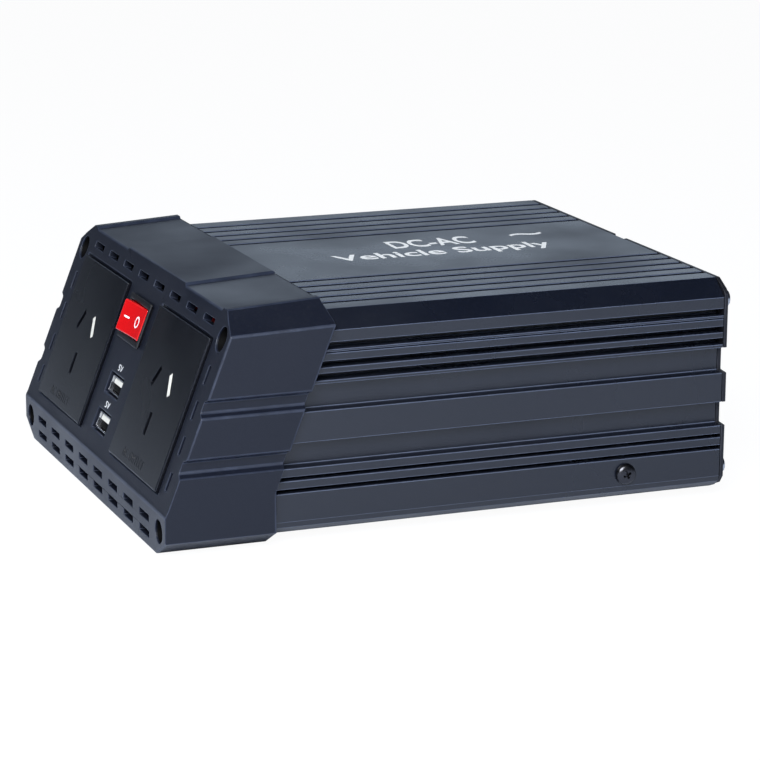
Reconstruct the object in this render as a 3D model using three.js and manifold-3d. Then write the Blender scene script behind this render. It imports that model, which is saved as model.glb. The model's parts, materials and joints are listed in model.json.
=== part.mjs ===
// A compact 600 W class power inverter: two finned aluminium extrusions closed by a slanted plastic
// front cap with two Australian-pattern mains outlets, a rocker switch and two USB ports, and by a
// steel rear plate with a fan and two screw terminals.
//
// Units are millimetres. X runs across the case, Y from the front face to the rear, Z up.
// While it is modelled, y = 0 is the foot of the front face; the finished group is then moved back
// so that the origin lies on the ground in the middle of the whole object.
import * as THREE from "three";
import { mergeVertices } from "three/addons/utils/BufferGeometryUtils.js";
import Module from "manifold-3d";

const wasm = await Module();
wasm.setup();

// ---------- driving dimensions ----------
const CAP_WIDTH = 164;
const CAP_TOP_FRONT = 74.1; // height of the cap's top at its front edge
const CAP_TOP_RISE = 0.058; // the top climbs towards the rear, mm per mm
const CAP_SHOULDER_Z = 67.2; // foot of the top chamfer, at the very front
const CAP_SHOULDER_RISE = 0.032;
const CAP_TOP_HALF = 72; // half width of the flat top
const CAP_FOOT_HALF = 72; // half width of the flat underside
const CAP_FOOT_Z = 5.5; // height of the lower chamfer
const TOP_PANEL_HALF = 30.5; // the raised middle panel of the cap's top
const TOP_PANEL_STEP = 0.7;
const TOP_BORDER = 3.4; // width of the rim outside the sunk panels
const BAND_HEIGHT = 13.7; // vertical band below the slanted panel
const PANEL_Y = 0.8; // foot of the slanted panel
const PANEL_Z = 15.2;
const LEAN = Math.atan(0.39); // how far the panel leans back
const CAP_REAR_Y = 35.6; // rear edge of the cap's skirt near the ground
const CAP_REAR_Z = 19; // from here up the rear edge leans as the panel does
const CAP_REAR_SHOULDER_Z = 69; // and from here up it turns back a little
const CAP_REAR_TOP_Y = 53.2;
const CHANNEL_DEPTH = 2.4; // the two channels along each side of the cap
const CAP_WALL = 3;

const BODY_HALF = 78.75;
const BODY_TOP = 72;
const BODY_FOOT = 2.2;
const BODY_FRONT = 30;
const BODY_REAR = 188;
const BODY_TOP_HALF = 72.3;
const BODY_SHOULDER_Z = 66.6;
const SPLIT_Z = 59.7; // where the upper and lower extrusions meet
const INNER_HALF = 71.6; // inside face of the side walls
const FIN_DEPTH_TOP = 4;
const FIN_DEPTH_SIDE = 5;
const FIRST_GROOVE_X = 32;
const GROOVE_PITCH = 8;
const GROOVES_PER_SIDE = 5;
const GROOVE_WIDTH = 2.6;
const BODY_CHANNEL = 3.9;

const SOCKET_X = 43; // outlet centres, either side of the middle
const SOCKET_S = 29.3; // outlet centre, measured up the panel
const PLATE_WIDTH = 50.6;
const PLATE_HEIGHT = 49.8;
const PLATE_S = 28; // plate centre, measured up the panel
const PLATE_PROUD = 1;
const PLATE_POCKET = 1.5;
const PIN_SPREAD = 6.86; // flat-pin pattern of AS/NZS 3112
const PIN_RISE = 3.96;
const EARTH_DROP = 10.31;
const SLOT_LENGTH = 7.4;
const SLOT_WIDTH = 2.2;

const SWITCH_S = 43.7;
const SWITCH_LENGTH = 21.6;
const SWITCH_WIDTH = 15.2;
const SWITCH_PROUD = 1.2;
const ROCKER_HALF = 8.3;
const ROCKER_WIDTH = 10.6;
const ROCKER_PIVOT = -2.5; // height of the rocker's axis, from the panel
const ROCK_ANGLE = THREE.MathUtils.degToRad(9);
const USB_PLACES = [21.4, 8.8]; // up the panel
const USB_WIDTH = 13.1;
const USB_HEIGHT = 5.7;
const USB_DEPTH = 13;

const VENT_COUNT = 8;
const VENT_PITCH = 17.15;
const VENT_WIDTH = 10;
const VENT_HEIGHT = 2.1;
const TOP_VENT_S = 57.6;
const BAND_VENT_Z = [9.2, 4.1];
const SIDE_SLOT_X = 74.2;
const SIDE_SLOT_S = [8.1, 19.8, 31.3, 42.6];

const CAP_SCREWS = [[75.4, 65.9], [75.2, 7.9]]; // x and z of the right-hand pair
const CAP_SCREW_SEAT = 3; // how far ahead of the extrusions the cap screws' heads sit
const REAR_SCREWS = [[74.4, 65.4], [74.2, 10.2]];
const SIDE_SCREW_Y = 154.3;
const SIDE_SCREW_Z = 11.7;

const PLATE_THICK = 1.3;
const REAR_FACE = BODY_REAR + 0.3 + PLATE_THICK;
const FAN_X = -40;
const FAN_Z = 37;
const FAN_SIZE = 50;
const FAN_DEPTH = 15;
const FAN_BORE = 23.6;
const FAN_HUB = 12.5;
const FAN_HOLE_PITCH = 40;
const TERMINAL_Z = 37;
const TERMINAL_X = { negative: 4, positive: 30 };
const STUD_RADIUS = 3;
const KNOB_RADIUS = 7.5;
const KNOB_LENGTH = 11.5;
const FLANGE = 4;
const GAP = 0.3; // clearance kept between neighbouring solids
const OVERALL_LENGTH = REAR_FACE + GAP + FLANGE + GAP + 1.2 + GAP + KNOB_LENGTH;

// ---------- materials ----------
function material(color, roughness, metalness = 0) {
  return new THREE.MeshStandardMaterial({ color, roughness, metalness });
}
const anodised = material(0x343b4a, 0.42, 0.6);
const capPlastic = material(0x22252f, 0.5);
const platePlastic = material(0x14161d, 0.38);
const rockerRed = material(0xd8101a, 0.25);
const blackPlastic = material(0x121214, 0.45);
const redPlastic = material(0xb01c1c, 0.4);
const whitePlastic = material(0xeceae2, 0.4);
const blackSteel = material(0x17181c, 0.5, 0.4);
const brightSteel = material(0xc4c6ca, 0.28, 0.95);
const darkSteel = material(0x3a3a3e, 0.35, 0.85);
const brass = material(0xc79a4b, 0.3, 0.95);
const rubber = material(0x0e0e0f, 0.85);
const board = material(0x1f5a36, 0.55);
const ferrite = material(0x2b2b2d, 0.7);
const copperTape = material(0xd2b13c, 0.45);
const bareAluminium = material(0xb4b8bd, 0.4, 0.9);

// ---------- building helpers ----------
function solid(geometry) {
  const bare = geometry.clone();
  bare.deleteAttribute("normal");
  bare.deleteAttribute("uv");
  const merged = mergeVertices(bare, 1e-4);
  return new wasm.Manifold(new wasm.Mesh({
    numProp: 3,
    vertProperties: new Float32Array(merged.attributes.position.array),
    triVerts: new Uint32Array(merged.index.array),
  }));
}

function toGeometry(manifold) {
  const cut = manifold.getMesh();
  const geometry = new THREE.BufferGeometry();
  geometry.setAttribute("position", new THREE.BufferAttribute(new Float32Array(cut.vertProperties), 3));
  geometry.setIndex(new THREE.BufferAttribute(new Uint32Array(cut.triVerts), 1));
  geometry.computeVertexNormals();
  return geometry;
}

function joined(first, ...others) {
  return others.reduce((whole, other) => whole.add(other), first);
}

function without(first, ...tools) {
  return tools.reduce((whole, tool) => whole.subtract(tool), first);
}

function placedMesh(name, shape, look) {
  const geometry = shape.isBufferGeometry ? shape : toGeometry(shape);
  const mesh = new THREE.Mesh(geometry, look);
  mesh.name = name;
  return mesh;
}

function block(width, depth, height, x = 0, y = 0, z = 0) {
  return new THREE.BoxGeometry(width, depth, height).translate(x, y, z);
}

// A round bar along Y whose near end is at y.
function barY(radius, length, x, y, z, sides = 20) {
  return new THREE.CylinderGeometry(radius, radius, length, sides).translate(x, y + length / 2, z);
}

// A turned piece on an axis along Y; the profile gives [radius, y] pairs, from axis to axis.
function turnedY(profile, x, y, z, sides = 24) {
  const points = profile.map(([radius, along]) => new THREE.Vector2(radius, along));
  return new THREE.LatheGeometry(points, sides).translate(x, y, z);
}

// A section drawn in X and Z, pushed from y = near to y = far.
function sectionY(points, near, far) {
  const shape = new THREE.Shape(points.map(([x, z]) => new THREE.Vector2(x, z)));
  const geometry = new THREE.ExtrudeGeometry(shape, { depth: far - near, bevelEnabled: false });
  return geometry.rotateX(Math.PI / 2).translate(0, far, 0);
}

// A section drawn in Y and Z, pushed across the full width.
function sectionX(points, halfWidth) {
  const shape = new THREE.Shape(points.map(([y, z]) => new THREE.Vector2(y, z)));
  const geometry = new THREE.ExtrudeGeometry(shape, { depth: 2 * halfWidth, bevelEnabled: false });
  return geometry.rotateX(Math.PI / 2).rotateZ(Math.PI / 2).translate(-halfWidth, 0, 0);
}

function mirroredOutline(half) {
  const left = half.slice().reverse().map(([x, z]) => [-x, z]);
  return half.concat(left.filter(([x]) => Math.abs(x) > 1e-9));
}

// The panel's own frame: X across, Y up the slope, Z out of the face.
const panelMatrix = new THREE.Matrix4()
  .makeTranslation(0, PANEL_Y, PANEL_Z)
  .multiply(new THREE.Matrix4().makeRotationX(Math.PI / 2 - LEAN));

function onPanel(geometry) {
  return geometry.applyMatrix4(panelMatrix);
}

function panelBlock(width, height, low, high, x, s) {
  return onPanel(block(width, height, high - low, x, s, (low + high) / 2));
}

function panelYAt(z) {
  return PANEL_Y + (z - PANEL_Z) * Math.tan(LEAN);
}

function bothSides(pairs) {
  return pairs.flatMap(([x, z]) => [[-x, z], [x, z]]);
}

// ---------- the front cap ----------
const CAP_HALF = CAP_WIDTH / 2;
const CAP_CHANNELS = [
  { low: 43.5, floorLow: 44.6, high: 48.9 },
  { low: 25.2, floorLow: 26.6, high: 30.9 },
];
const LOFT_BACK = 62;

// Half of the cap's outline at a distance y behind the front, from the ground to the top.
function capHalfOutline(y) {
  const top = CAP_TOP_FRONT + (y - panelYAt(CAP_TOP_FRONT)) * CAP_TOP_RISE;
  const shoulder = CAP_SHOULDER_Z + y * CAP_SHOULDER_RISE;
  const floorX = CAP_HALF - CHANNEL_DEPTH;
  const outline = [[0, 0], [CAP_FOOT_HALF, 0], [CAP_HALF, CAP_FOOT_Z]];
  for (const channel of CAP_CHANNELS.slice().reverse()) {
    outline.push([CAP_HALF, channel.low], [floorX, channel.floorLow]);
    outline.push([floorX, channel.high - 0.8], [CAP_HALF, channel.high]);
  }
  outline.push([CAP_HALF, shoulder], [CAP_TOP_HALF, top]);
  outline.push([CAP_TOP_HALF - TOP_BORDER, top]);
  outline.push([CAP_TOP_HALF - TOP_BORDER - TOP_PANEL_STEP, top - TOP_PANEL_STEP]);
  outline.push([TOP_PANEL_HALF + TOP_PANEL_STEP, top - TOP_PANEL_STEP], [TOP_PANEL_HALF, top]);
  outline.push([0, top]);
  return outline;
}

// A solid between two outlines of equal length, one at y = 0 and one further back.
function loftY(frontOutline, backOutline, depth) {
  const count = frontOutline.length;
  const positions = [];
  frontOutline.forEach(([x, z]) => positions.push(x, 0, z));
  backOutline.forEach(([x, z]) => positions.push(x, depth, z));
  const faces = THREE.ShapeUtils.triangulateShape(
    frontOutline.map(([x, z]) => new THREE.Vector2(x, z)), []);
  const index = [];
  for (const [a, b, c] of faces) {
    index.push(a, b, c);
    index.push(a + count, c + count, b + count);
  }
  for (let i = 0; i < count; i += 1) {
    const next = (i + 1) % count;
    index.push(i, i + count, next);
    index.push(next, i + count, next + count);
  }
  const geometry = new THREE.BufferGeometry();
  geometry.setAttribute("position", new THREE.Float32BufferAttribute(positions, 3));
  geometry.setIndex(index);
  return geometry;
}

function capSideProfile(frontInset, backInset) {
  const high = 80;
  const slopeShift = frontInset / Math.cos(LEAN);
  const rearShoulderY = CAP_REAR_Y + (CAP_REAR_SHOULDER_Z - CAP_REAR_Z) * Math.tan(LEAN);
  return [
    [frontInset, -1],
    [CAP_REAR_Y + backInset, -1],
    [CAP_REAR_Y + backInset, CAP_REAR_Z],
    [rearShoulderY + backInset, CAP_REAR_SHOULDER_Z],
    [CAP_REAR_TOP_Y + backInset, BODY_TOP + 3],
    [CAP_REAR_TOP_Y + backInset, high],
    [panelYAt(high) + slopeShift, high],
    [PANEL_Y + slopeShift, PANEL_Z],
    [frontInset, BAND_HEIGHT],
  ];
}

// The hollow behind the panel, which also takes the front ends of the extrusions.
function capHollow() {
  const innerHalf = BODY_HALF + GAP;
  const bumpX = CAP_HALF - CHANNEL_DEPTH - 2.5;
  const half = [[0, 1.9], [69.1, 1.9], [72.8, 2.4], [76.1, 3.7], [78.3, 5.4], [innerHalf, 7.5]];
  for (const [low, high] of [[25.2, 31.8], [42.6, 49.8]]) {
    half.push([innerHalf, low], [bumpX, low], [bumpX, high], [innerHalf, high]);
  }
  half.push([innerHalf, BODY_SHOULDER_Z + 0.15], [BODY_TOP_HALF + 0.15, BODY_TOP + GAP], [0, BODY_TOP + GAP]);
  const hollow = solid(sectionY(mirroredOutline(half), -5, 70));
  return hollow.intersect(solid(sectionX(capSideProfile(CAP_WALL, 20), 90)));
}

function capScrewColumns() {
  return bothSides(CAP_SCREWS).map(([x, z]) => solid(barY(5.4, BODY_FRONT - GAP, x, 0, z, 20)));
}

function capScrewBores() {
  return bothSides(CAP_SCREWS).flatMap(([x, z]) => [
    solid(barY(3.75, BODY_FRONT - CAP_SCREW_SEAT + 5, x, -5, z, 24)),
    solid(barY(2.2, CAP_SCREW_SEAT + 4, x, BODY_FRONT - CAP_SCREW_SEAT, z, 12)),
  ]);
}

function capVents() {
  const tools = [];
  for (let i = 0; i < VENT_COUNT; i += 1) {
    const x = (i - (VENT_COUNT - 1) / 2) * VENT_PITCH;
    tools.push(solid(panelBlock(VENT_WIDTH, VENT_HEIGHT, -6, 4, x, TOP_VENT_S)));
    for (const z of BAND_VENT_Z) {
      tools.push(solid(block(VENT_WIDTH, 14, VENT_HEIGHT, x, 0, z)));
    }
  }
  for (const side of [-1, 1]) {
    for (const s of SIDE_SLOT_S) {
      tools.push(solid(panelBlock(1.8, 6, -6, 4, side * SIDE_SLOT_X, s)));
    }
  }
  return tools;
}

function capPanelOpenings() {
  const tools = [];
  for (const side of [-1, 1]) {
    const x = side * SOCKET_X;
    tools.push(solid(panelBlock(PLATE_WIDTH + 2 * GAP + 0.5, PLATE_HEIGHT + 2 * GAP + 0.5,
      -PLATE_POCKET, 4, x, PLATE_S)));
    tools.push(solid(panelBlock(40, 38, -8, 4, x, PLATE_S)));
  }
  tools.push(solid(panelBlock(20.8, 13.4, -8, 4, 0, SWITCH_S)));
  for (const s of USB_PLACES) {
    tools.push(solid(panelBlock(USB_WIDTH + 1.2, USB_HEIGHT + 1.2, -8, 4, 0, s)));
  }
  return tools;
}

function frontCap() {
  const front = mirroredOutline(capHalfOutline(0));
  const back = mirroredOutline(capHalfOutline(LOFT_BACK));
  const blank = solid(loftY(front, back, LOFT_BACK));
  const outside = blank.intersect(solid(sectionX(capSideProfile(0, 0), 90)));
  const shell = outside.subtract(capHollow());
  const columns = joined(...capScrewColumns()).intersect(outside);
  return without(shell.add(columns), ...capScrewBores(), ...capVents(), ...capPanelOpenings());
}

// ---------- the extrusions ----------
const SIDE_GROOVES_LOWER = [[55.2, 57.1], [51.2, 53.3], [20.5, 21.7], [16.6, 17.9]];
const BODY_CHANNELS = [
  { low: 41.8, floorLow: 42.1, high: 50.1 },
  { low: 24.4, floorLow: 24.7, high: 32.2 },
];

function upperCaseHalf() {
  const grooveX = BODY_HALF - FIN_DEPTH_SIDE;
  const grooveFloor = BODY_TOP - FIN_DEPTH_TOP;
  const half = [[0, 69.4], [26, 69.4], [28.5, 65.6], [66, 65.6], [70, 62.2]];
  half.push([INNER_HALF, 62.2], [INNER_HALF, SPLIT_Z + GAP / 2]);
  half.push([BODY_HALF, SPLIT_Z + GAP / 2], [BODY_HALF, 60.7], [grooveX, 60.7], [grooveX, 62.9]);
  half.push([BODY_HALF, 62.9], [BODY_HALF, BODY_SHOULDER_Z], [BODY_TOP_HALF, BODY_TOP]);
  for (let i = GROOVES_PER_SIDE - 1; i >= 0; i -= 1) {
    const x = FIRST_GROOVE_X + i * GROOVE_PITCH;
    const outer = x + GROOVE_WIDTH / 2;
    const inner = x - GROOVE_WIDTH / 2;
    half.push([outer, BODY_TOP], [outer, grooveFloor], [inner, grooveFloor], [inner, BODY_TOP]);
  }
  half.push([0, BODY_TOP]);
  return half;
}

function lowerCaseHalf() {
  const grooveX = BODY_HALF - FIN_DEPTH_SIDE;
  const floorX = BODY_HALF - BODY_CHANNEL;
  const half = [[0, BODY_FOOT], [69, BODY_FOOT], [72.6, 2.7], [75.9, 4], [78, 5.7], [BODY_HALF, 7.6]];
  const groove = ([low, high]) => half.push(
    [BODY_HALF, low], [grooveX, low], [grooveX, high], [BODY_HALF, high]);
  const channel = ({ low, floorLow, high }) => half.push(
    [BODY_HALF, low], [floorX, floorLow], [floorX, high], [BODY_HALF, high]);
  groove(SIDE_GROOVES_LOWER[3]);
  groove(SIDE_GROOVES_LOWER[2]);
  channel(BODY_CHANNELS[1]);
  channel(BODY_CHANNELS[0]);
  groove(SIDE_GROOVES_LOWER[1]);
  groove(SIDE_GROOVES_LOWER[0]);
  half.push([BODY_HALF, SPLIT_Z - GAP / 2], [INNER_HALF, SPLIT_Z - GAP / 2]);
  half.push([INNER_HALF, 14.2], [70.6, 13.2], [70.6, 6.2], [69, 4.7], [0, 4.7]);
  return half;
}

function screwHolesInBody(height) {
  const front = bothSides(CAP_SCREWS).filter(([, z]) => height(z));
  const rear = bothSides(REAR_SCREWS).filter(([, z]) => height(z));
  return [
    ...front.map(([x, z]) => solid(barY(1.9, 17, x, BODY_FRONT - 1, z, 12))),
    ...rear.map(([x, z]) => solid(barY(1.9, 13, x, BODY_REAR - 12, z, 12))),
  ];
}

function upperCase() {
  const blank = solid(sectionY(mirroredOutline(upperCaseHalf()), BODY_FRONT, BODY_REAR));
  return without(blank, ...screwHolesInBody((z) => z > SPLIT_Z));
}

function lowerCase() {
  const blank = solid(sectionY(mirroredOutline(lowerCaseHalf()), BODY_FRONT, BODY_REAR));
  const sideHoles = [-1, 1].map((side) => solid(
    new THREE.CylinderGeometry(1.9, 1.9, 12, 12).rotateZ(Math.PI / 2)
      .translate(side * (BODY_HALF - 4), SIDE_SCREW_Y, SIDE_SCREW_Z)));
  return without(blank, ...screwHolesInBody((z) => z < SPLIT_Z), ...sideHoles);
}

// ---------- screws ----------
// A pan-head cross-recess screw: head towards -Y, shank towards +Y, head seat at y = 0.
function panScrew(headRadius, headHeight, shankRadius, length) {
  const profile = [[0, -headHeight], [headRadius * 0.62, -headHeight], [headRadius, -headHeight * 0.35],
    [headRadius, 0], [shankRadius, 0], [shankRadius, length - 1], [0, length]];
  const blank = solid(turnedY(profile, 0, 0, 0, 12));
  const arm = headRadius * 1.05;
  const depth = headHeight * 0.6;
  const recess = joined(
    solid(block(arm, depth * 2, headRadius * 0.26, 0, -headHeight, 0)),
    solid(block(headRadius * 0.26, depth * 2, arm, 0, -headHeight, 0)),
  );
  return toGeometry(blank.subtract(recess));
}

function capScrews() {
  const places = bothSides(CAP_SCREWS);
  const names = ["upper_left", "upper_right", "lower_left", "lower_right"];
  return places.map(([x, z], i) => {
    const mesh = placedMesh(`cap_screw_${names[i]}`, panScrew(3.1, 2.2, 1.5, 16), darkSteel);
    mesh.position.set(x, BODY_FRONT - CAP_SCREW_SEAT - GAP, z);
    return mesh;
  });
}

function rearScrews() {
  const places = bothSides(REAR_SCREWS);
  const names = ["upper_left", "upper_right", "lower_left", "lower_right"];
  return places.map(([x, z], i) => {
    const mesh = placedMesh(`rear_screw_${names[i]}`, panScrew(2.9, 2, 1.5, 10), brightSteel);
    mesh.rotation.z = Math.PI;
    mesh.position.set(x, REAR_FACE + GAP, z);
    return mesh;
  });
}

function sideScrews() {
  return [-1, 1].map((side) => {
    const name = side > 0 ? "side_screw_right" : "side_screw_left";
    const mesh = placedMesh(name, panScrew(3.4, 2, 1.5, 10), darkSteel);
    mesh.rotation.z = side * Math.PI / 2;
    mesh.position.set(side * (BODY_HALF + GAP), SIDE_SCREW_Y, SIDE_SCREW_Z);
    return mesh;
  });
}

// ---------- mains outlets ----------
// Pin places in the outlet's own frame: across, up the panel, turn, and what the pin is.
const PINS = [
  { use: "active", x: -PIN_SPREAD, s: PIN_RISE, turn: -Math.PI / 6 },
  { use: "neutral", x: PIN_SPREAD, s: PIN_RISE, turn: Math.PI / 6 },
  { use: "earth", x: 0, s: -EARTH_DROP, turn: 0 },
];

function slotTool(pin, width, length, low, high) {
  return block(width, length, high - low, 0, 0, (low + high) / 2)
    .rotateZ(pin.turn)
    .translate(pin.x, pin.s, 0);
}

// The moulded outlet insert, in panel coordinates about its pin pattern.
function outletInsert() {
  const shift = PLATE_S - SOCKET_S;
  const face = solid(block(PLATE_WIDTH, PLATE_HEIGHT, PLATE_POCKET + PLATE_PROUD - GAP,
    0, shift, (PLATE_PROUD - PLATE_POCKET + GAP) / 2));
  const boss = solid(block(38.8, 36.8, 13, 0, shift, -PLATE_POCKET + 1 - 6.5));
  const slots = PINS.map((pin) => solid(slotTool(pin, SLOT_WIDTH, SLOT_LENGTH, -20, 5)));
  const pockets = PINS.map((pin) => solid(slotTool(pin, 6.4, 9.6, -20, -3.2)));
  return without(face.add(boss), ...slots, ...pockets);
}

// A folded brass clip: two leaves that grip a flat pin, joined by a bridge at the back.
function contactClip(pin) {
  const leaf = (side) => solid(block(0.7, 6.6, 8, side * 1.6, 0, -7.7));
  const bridge = solid(block(3.9, 6.6, 0.8, 0, 0, -11.9));
  const tail = solid(block(0.8, 2.6, 4, 0, 0, -14));
  return toGeometry(joined(leaf(-1), leaf(1), bridge, tail)).rotateZ(pin.turn).translate(pin.x, pin.s, 0);
}

function outlets() {
  const meshes = [];
  for (const side of [-1, 1]) {
    const where = side < 0 ? "left" : "right";
    const shift = new THREE.Matrix4().makeTranslation(side * SOCKET_X, SOCKET_S, 0);
    const insert = toGeometry(outletInsert()).applyMatrix4(shift);
    meshes.push(placedMesh(`outlet_${where}`, onPanel(insert), platePlastic));
    for (const pin of PINS) {
      const clip = contactClip(pin).applyMatrix4(shift);
      meshes.push(placedMesh(`${pin.use}_contact_${where}`, onPanel(clip), brass));
    }
  }
  return meshes;
}

// ---------- rocker switch ----------
function switchFrame() {
  const bezel = solid(block(SWITCH_LENGTH, SWITCH_WIDTH, SWITCH_PROUD - GAP, 0, 0, (SWITCH_PROUD + GAP) / 2));
  const body = solid(block(20.2, 12.8, 15, 0, 0, -7));
  const window = solid(block(18.8, 11.2, 12, 0, 0, -3.5));
  const pivotHole = solid(new THREE.CylinderGeometry(1.5, 1.5, 20, 12).translate(0, 0, ROCKER_PIVOT));
  const tabs = [-5, 5].map((x) => solid(block(0.8, 4.8, 6, x, 0, -17)));
  return joined(bezel.add(body).subtract(window).subtract(pivotHole), ...tabs);
}

// The rocker about its own pivot, level: X along the rocker, Y along the pivot.
function rockerShape() {
  const up = 2.5 - ROCKER_PIVOT;
  const points = [[-ROCKER_HALF, up], [-5.6, up - 0.45], [0, up - 0.75], [5.6, up - 0.45], [ROCKER_HALF, up],
    [8.1, 0.6], [5, -3.4], [-5, -3.4], [-8.1, 0.6]];
  const outline = points.slice().reverse().map(([x, z]) => new THREE.Vector2(x, z));
  const wedge = new THREE.ExtrudeGeometry(new THREE.Shape(outline), { depth: ROCKER_WIDTH, bevelEnabled: false });
  wedge.rotateX(Math.PI / 2).translate(0, ROCKER_WIDTH / 2, 0);
  const pin = new THREE.CylinderGeometry(1.2, 1.2, ROCKER_WIDTH + 1.2, 12);
  return solid(wedge).add(solid(pin));
}

function rockerSwitch() {
  const frame = onPanel(toGeometry(switchFrame()).translate(0, SWITCH_S, 0));
  const tilted = toGeometry(rockerShape()).rotateY(ROCK_ANGLE).translate(0, SWITCH_S, ROCKER_PIVOT);
  return [
    placedMesh("switch_frame", frame, blackPlastic),
    placedMesh("switch_rocker", onPanel(tilted), rockerRed),
  ];
}

// ---------- USB ports ----------
const USB_MOUTH = -0.9; // the shells' front edge, below the panel's face

function usbPorts() {
  const meshes = [];
  USB_PLACES.forEach((s, i) => {
    const where = i === 0 ? "upper" : "lower";
    const middle = USB_MOUTH - USB_DEPTH / 2;
    const tube = solid(block(USB_WIDTH, USB_HEIGHT, USB_DEPTH, 0, s, middle));
    const inside = solid(block(USB_WIDTH - 1, USB_HEIGHT - 1, USB_DEPTH, 0, s, middle + 0.8));
    meshes.push(placedMesh(`usb_shell_${where}`, onPanel(toGeometry(tube.subtract(inside))), brightSteel));
    const root = solid(block(11.4, 4, 3, 0, s, USB_MOUTH - USB_DEPTH + 0.8 + GAP + 1.5));
    const tongue = solid(block(11.1, 1.8, 9.6, 0, s + 1.05, USB_MOUTH - 0.8 - 4.8));
    meshes.push(placedMesh(`usb_tongue_${where}`, onPanel(toGeometry(root.add(tongue))), whitePlastic));
  });
  const boardHeight = USB_PLACES[0] - USB_PLACES[1] + 12;
  const boardS = (USB_PLACES[0] + USB_PLACES[1]) / 2;
  const boardDepth = USB_MOUTH - USB_DEPTH - GAP - 0.8;
  meshes.push(placedMesh("usb_board", panelBlock(17, boardHeight, boardDepth - 0.8, boardDepth + 0.8, 0, boardS), board));
  return meshes;
}

// ---------- inside the case ----------
const BOARD_Z = 9;

function mainBoard() {
  return placedMesh("main_board", block(130.6, 128, 1.6, 0, 106, BOARD_Z), board);
}

function transformer() {
  const y = 112;
  const z = BOARD_Z + 0.8 + GAP;
  const core = without(
    solid(block(42, 34, 34, -18, y, z + 17)),
    solid(block(9, 60, 22, -18 - 10.5, y, z + 17)),
    solid(block(9, 60, 22, -18 + 10.5, y, z + 17)),
  );
  const limb = block(12.6, 34.6, 21.4, -18, y, z + 17);
  const winding = solid(block(29.2, 46, 21.4, -18, y, z + 17)).subtract(solid(limb));
  return [
    placedMesh("transformer_core", core, ferrite),
    placedMesh("transformer_winding", winding, copperTape),
  ];
}

function capacitor(name, x, y, radius, height) {
  const z = BOARD_Z + 0.8 + GAP;
  const can = new THREE.CylinderGeometry(radius, radius, height, 20).rotateX(Math.PI / 2);
  return placedMesh(name, can.translate(x, y, z + height / 2), blackPlastic);
}

function choke() {
  const ring = [[5.2, -5], [10.5, -5], [11.5, -4], [11.5, 4], [10.5, 5], [5.2, 5], [4.4, 4], [4.4, -4], [5.2, -5]];
  const points = ring.map(([radius, along]) => new THREE.Vector2(radius, along));
  const torus = new THREE.LatheGeometry(points, 20).rotateZ(Math.PI / 2);
  return placedMesh("choke_coil", torus.translate(26, 138, BOARD_Z + 0.8 + GAP + 11.5), copperTape);
}

function heatBars() {
  return [-1, 1].map((side) => {
    const name = side > 0 ? "heat_bar_right" : "heat_bar_left";
    const bar = solid(block(4.4, 86, 23.5, side * 68, 118, 19.3));
    const hole = solid(new THREE.CylinderGeometry(1.9, 1.9, 14, 12).rotateZ(Math.PI / 2)
      .translate(side * 68, SIDE_SCREW_Y, SIDE_SCREW_Z));
    return placedMesh(name, bar.subtract(hole), bareAluminium);
  });
}

// The insulated lead from the switch, which passes behind the top vents down to the board.
function switchLead() {
  const radius = 1.3;
  const route = new THREE.CatmullRomCurve3([
    new THREE.Vector3(5, 37, 47.6),
    new THREE.Vector3(6, 41, 51),
    new THREE.Vector3(10, 37, 58.5),
    new THREE.Vector3(18, 29.5, 65),
    new THREE.Vector3(27, 27.6, 68.3),
    new THREE.Vector3(38, 27.9, 65.6),
    new THREE.Vector3(48, 33, 58.5),
    new THREE.Vector3(57, 46, 46),
    new THREE.Vector3(60, 56, 28),
    new THREE.Vector3(58, 60, BOARD_Z + 2.8),
  ]);
  const section = new THREE.Shape();
  section.absarc(0, 0, radius, 0, Math.PI * 2, false);
  const tube = new THREE.ExtrudeGeometry(section, {
    extrudePath: route, steps: 36, curveSegments: 4, bevelEnabled: false });
  return placedMesh("switch_lead", tube, redPlastic);
}

// ---------- rear plate, fan and terminals ----------
function rearPlateOutline() {
  const floorX = BODY_HALF - BODY_CHANNEL;
  const half = [[0, BODY_FOOT], [70, BODY_FOOT], [76.6, 4.8], [BODY_HALF, 7.6]];
  for (const { low, high } of BODY_CHANNELS.slice().reverse()) {
    half.push([BODY_HALF, low + 0.1], [floorX, low + 0.4], [floorX, high], [BODY_HALF, high]);
  }
  half.push([BODY_HALF, 67.6], [77.4, 69.2], [72.2, BODY_TOP], [4.6, BODY_TOP], [4.1, 70.8], [0, 70.8]);
  return mirroredOutline(half);
}

function rearPlate() {
  const near = BODY_REAR + GAP;
  const sheet = solid(sectionY(rearPlateOutline(), near, near + PLATE_THICK));
  const hole = (radius, x, z, sides) => solid(barY(radius, 6, x, near - 2, z, sides));
  const tools = [hole(FAN_BORE, FAN_X, FAN_Z, 40), hole(1.9, 56, 18, 12)];
  for (const [x, z] of bothSides(REAR_SCREWS)) {
    tools.push(hole(1.9, x, z, 12));
  }
  for (const [x, z] of fanCorners()) {
    tools.push(hole(1.9, x, z, 12));
  }
  for (const x of Object.values(TERMINAL_X)) {
    tools.push(hole(5.6, x, TERMINAL_Z, 24));
  }
  return placedMesh("rear_plate", without(sheet, ...tools), blackSteel);
}

function fanCorners() {
  const half = FAN_HOLE_PITCH / 2;
  return [[-half, half], [half, half], [-half, -half], [half, -half]]
    .map(([x, z]) => [FAN_X + x, FAN_Z + z]);
}

const FAN_BACK = BODY_REAR; // the face of the fan frame next to the plate

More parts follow.
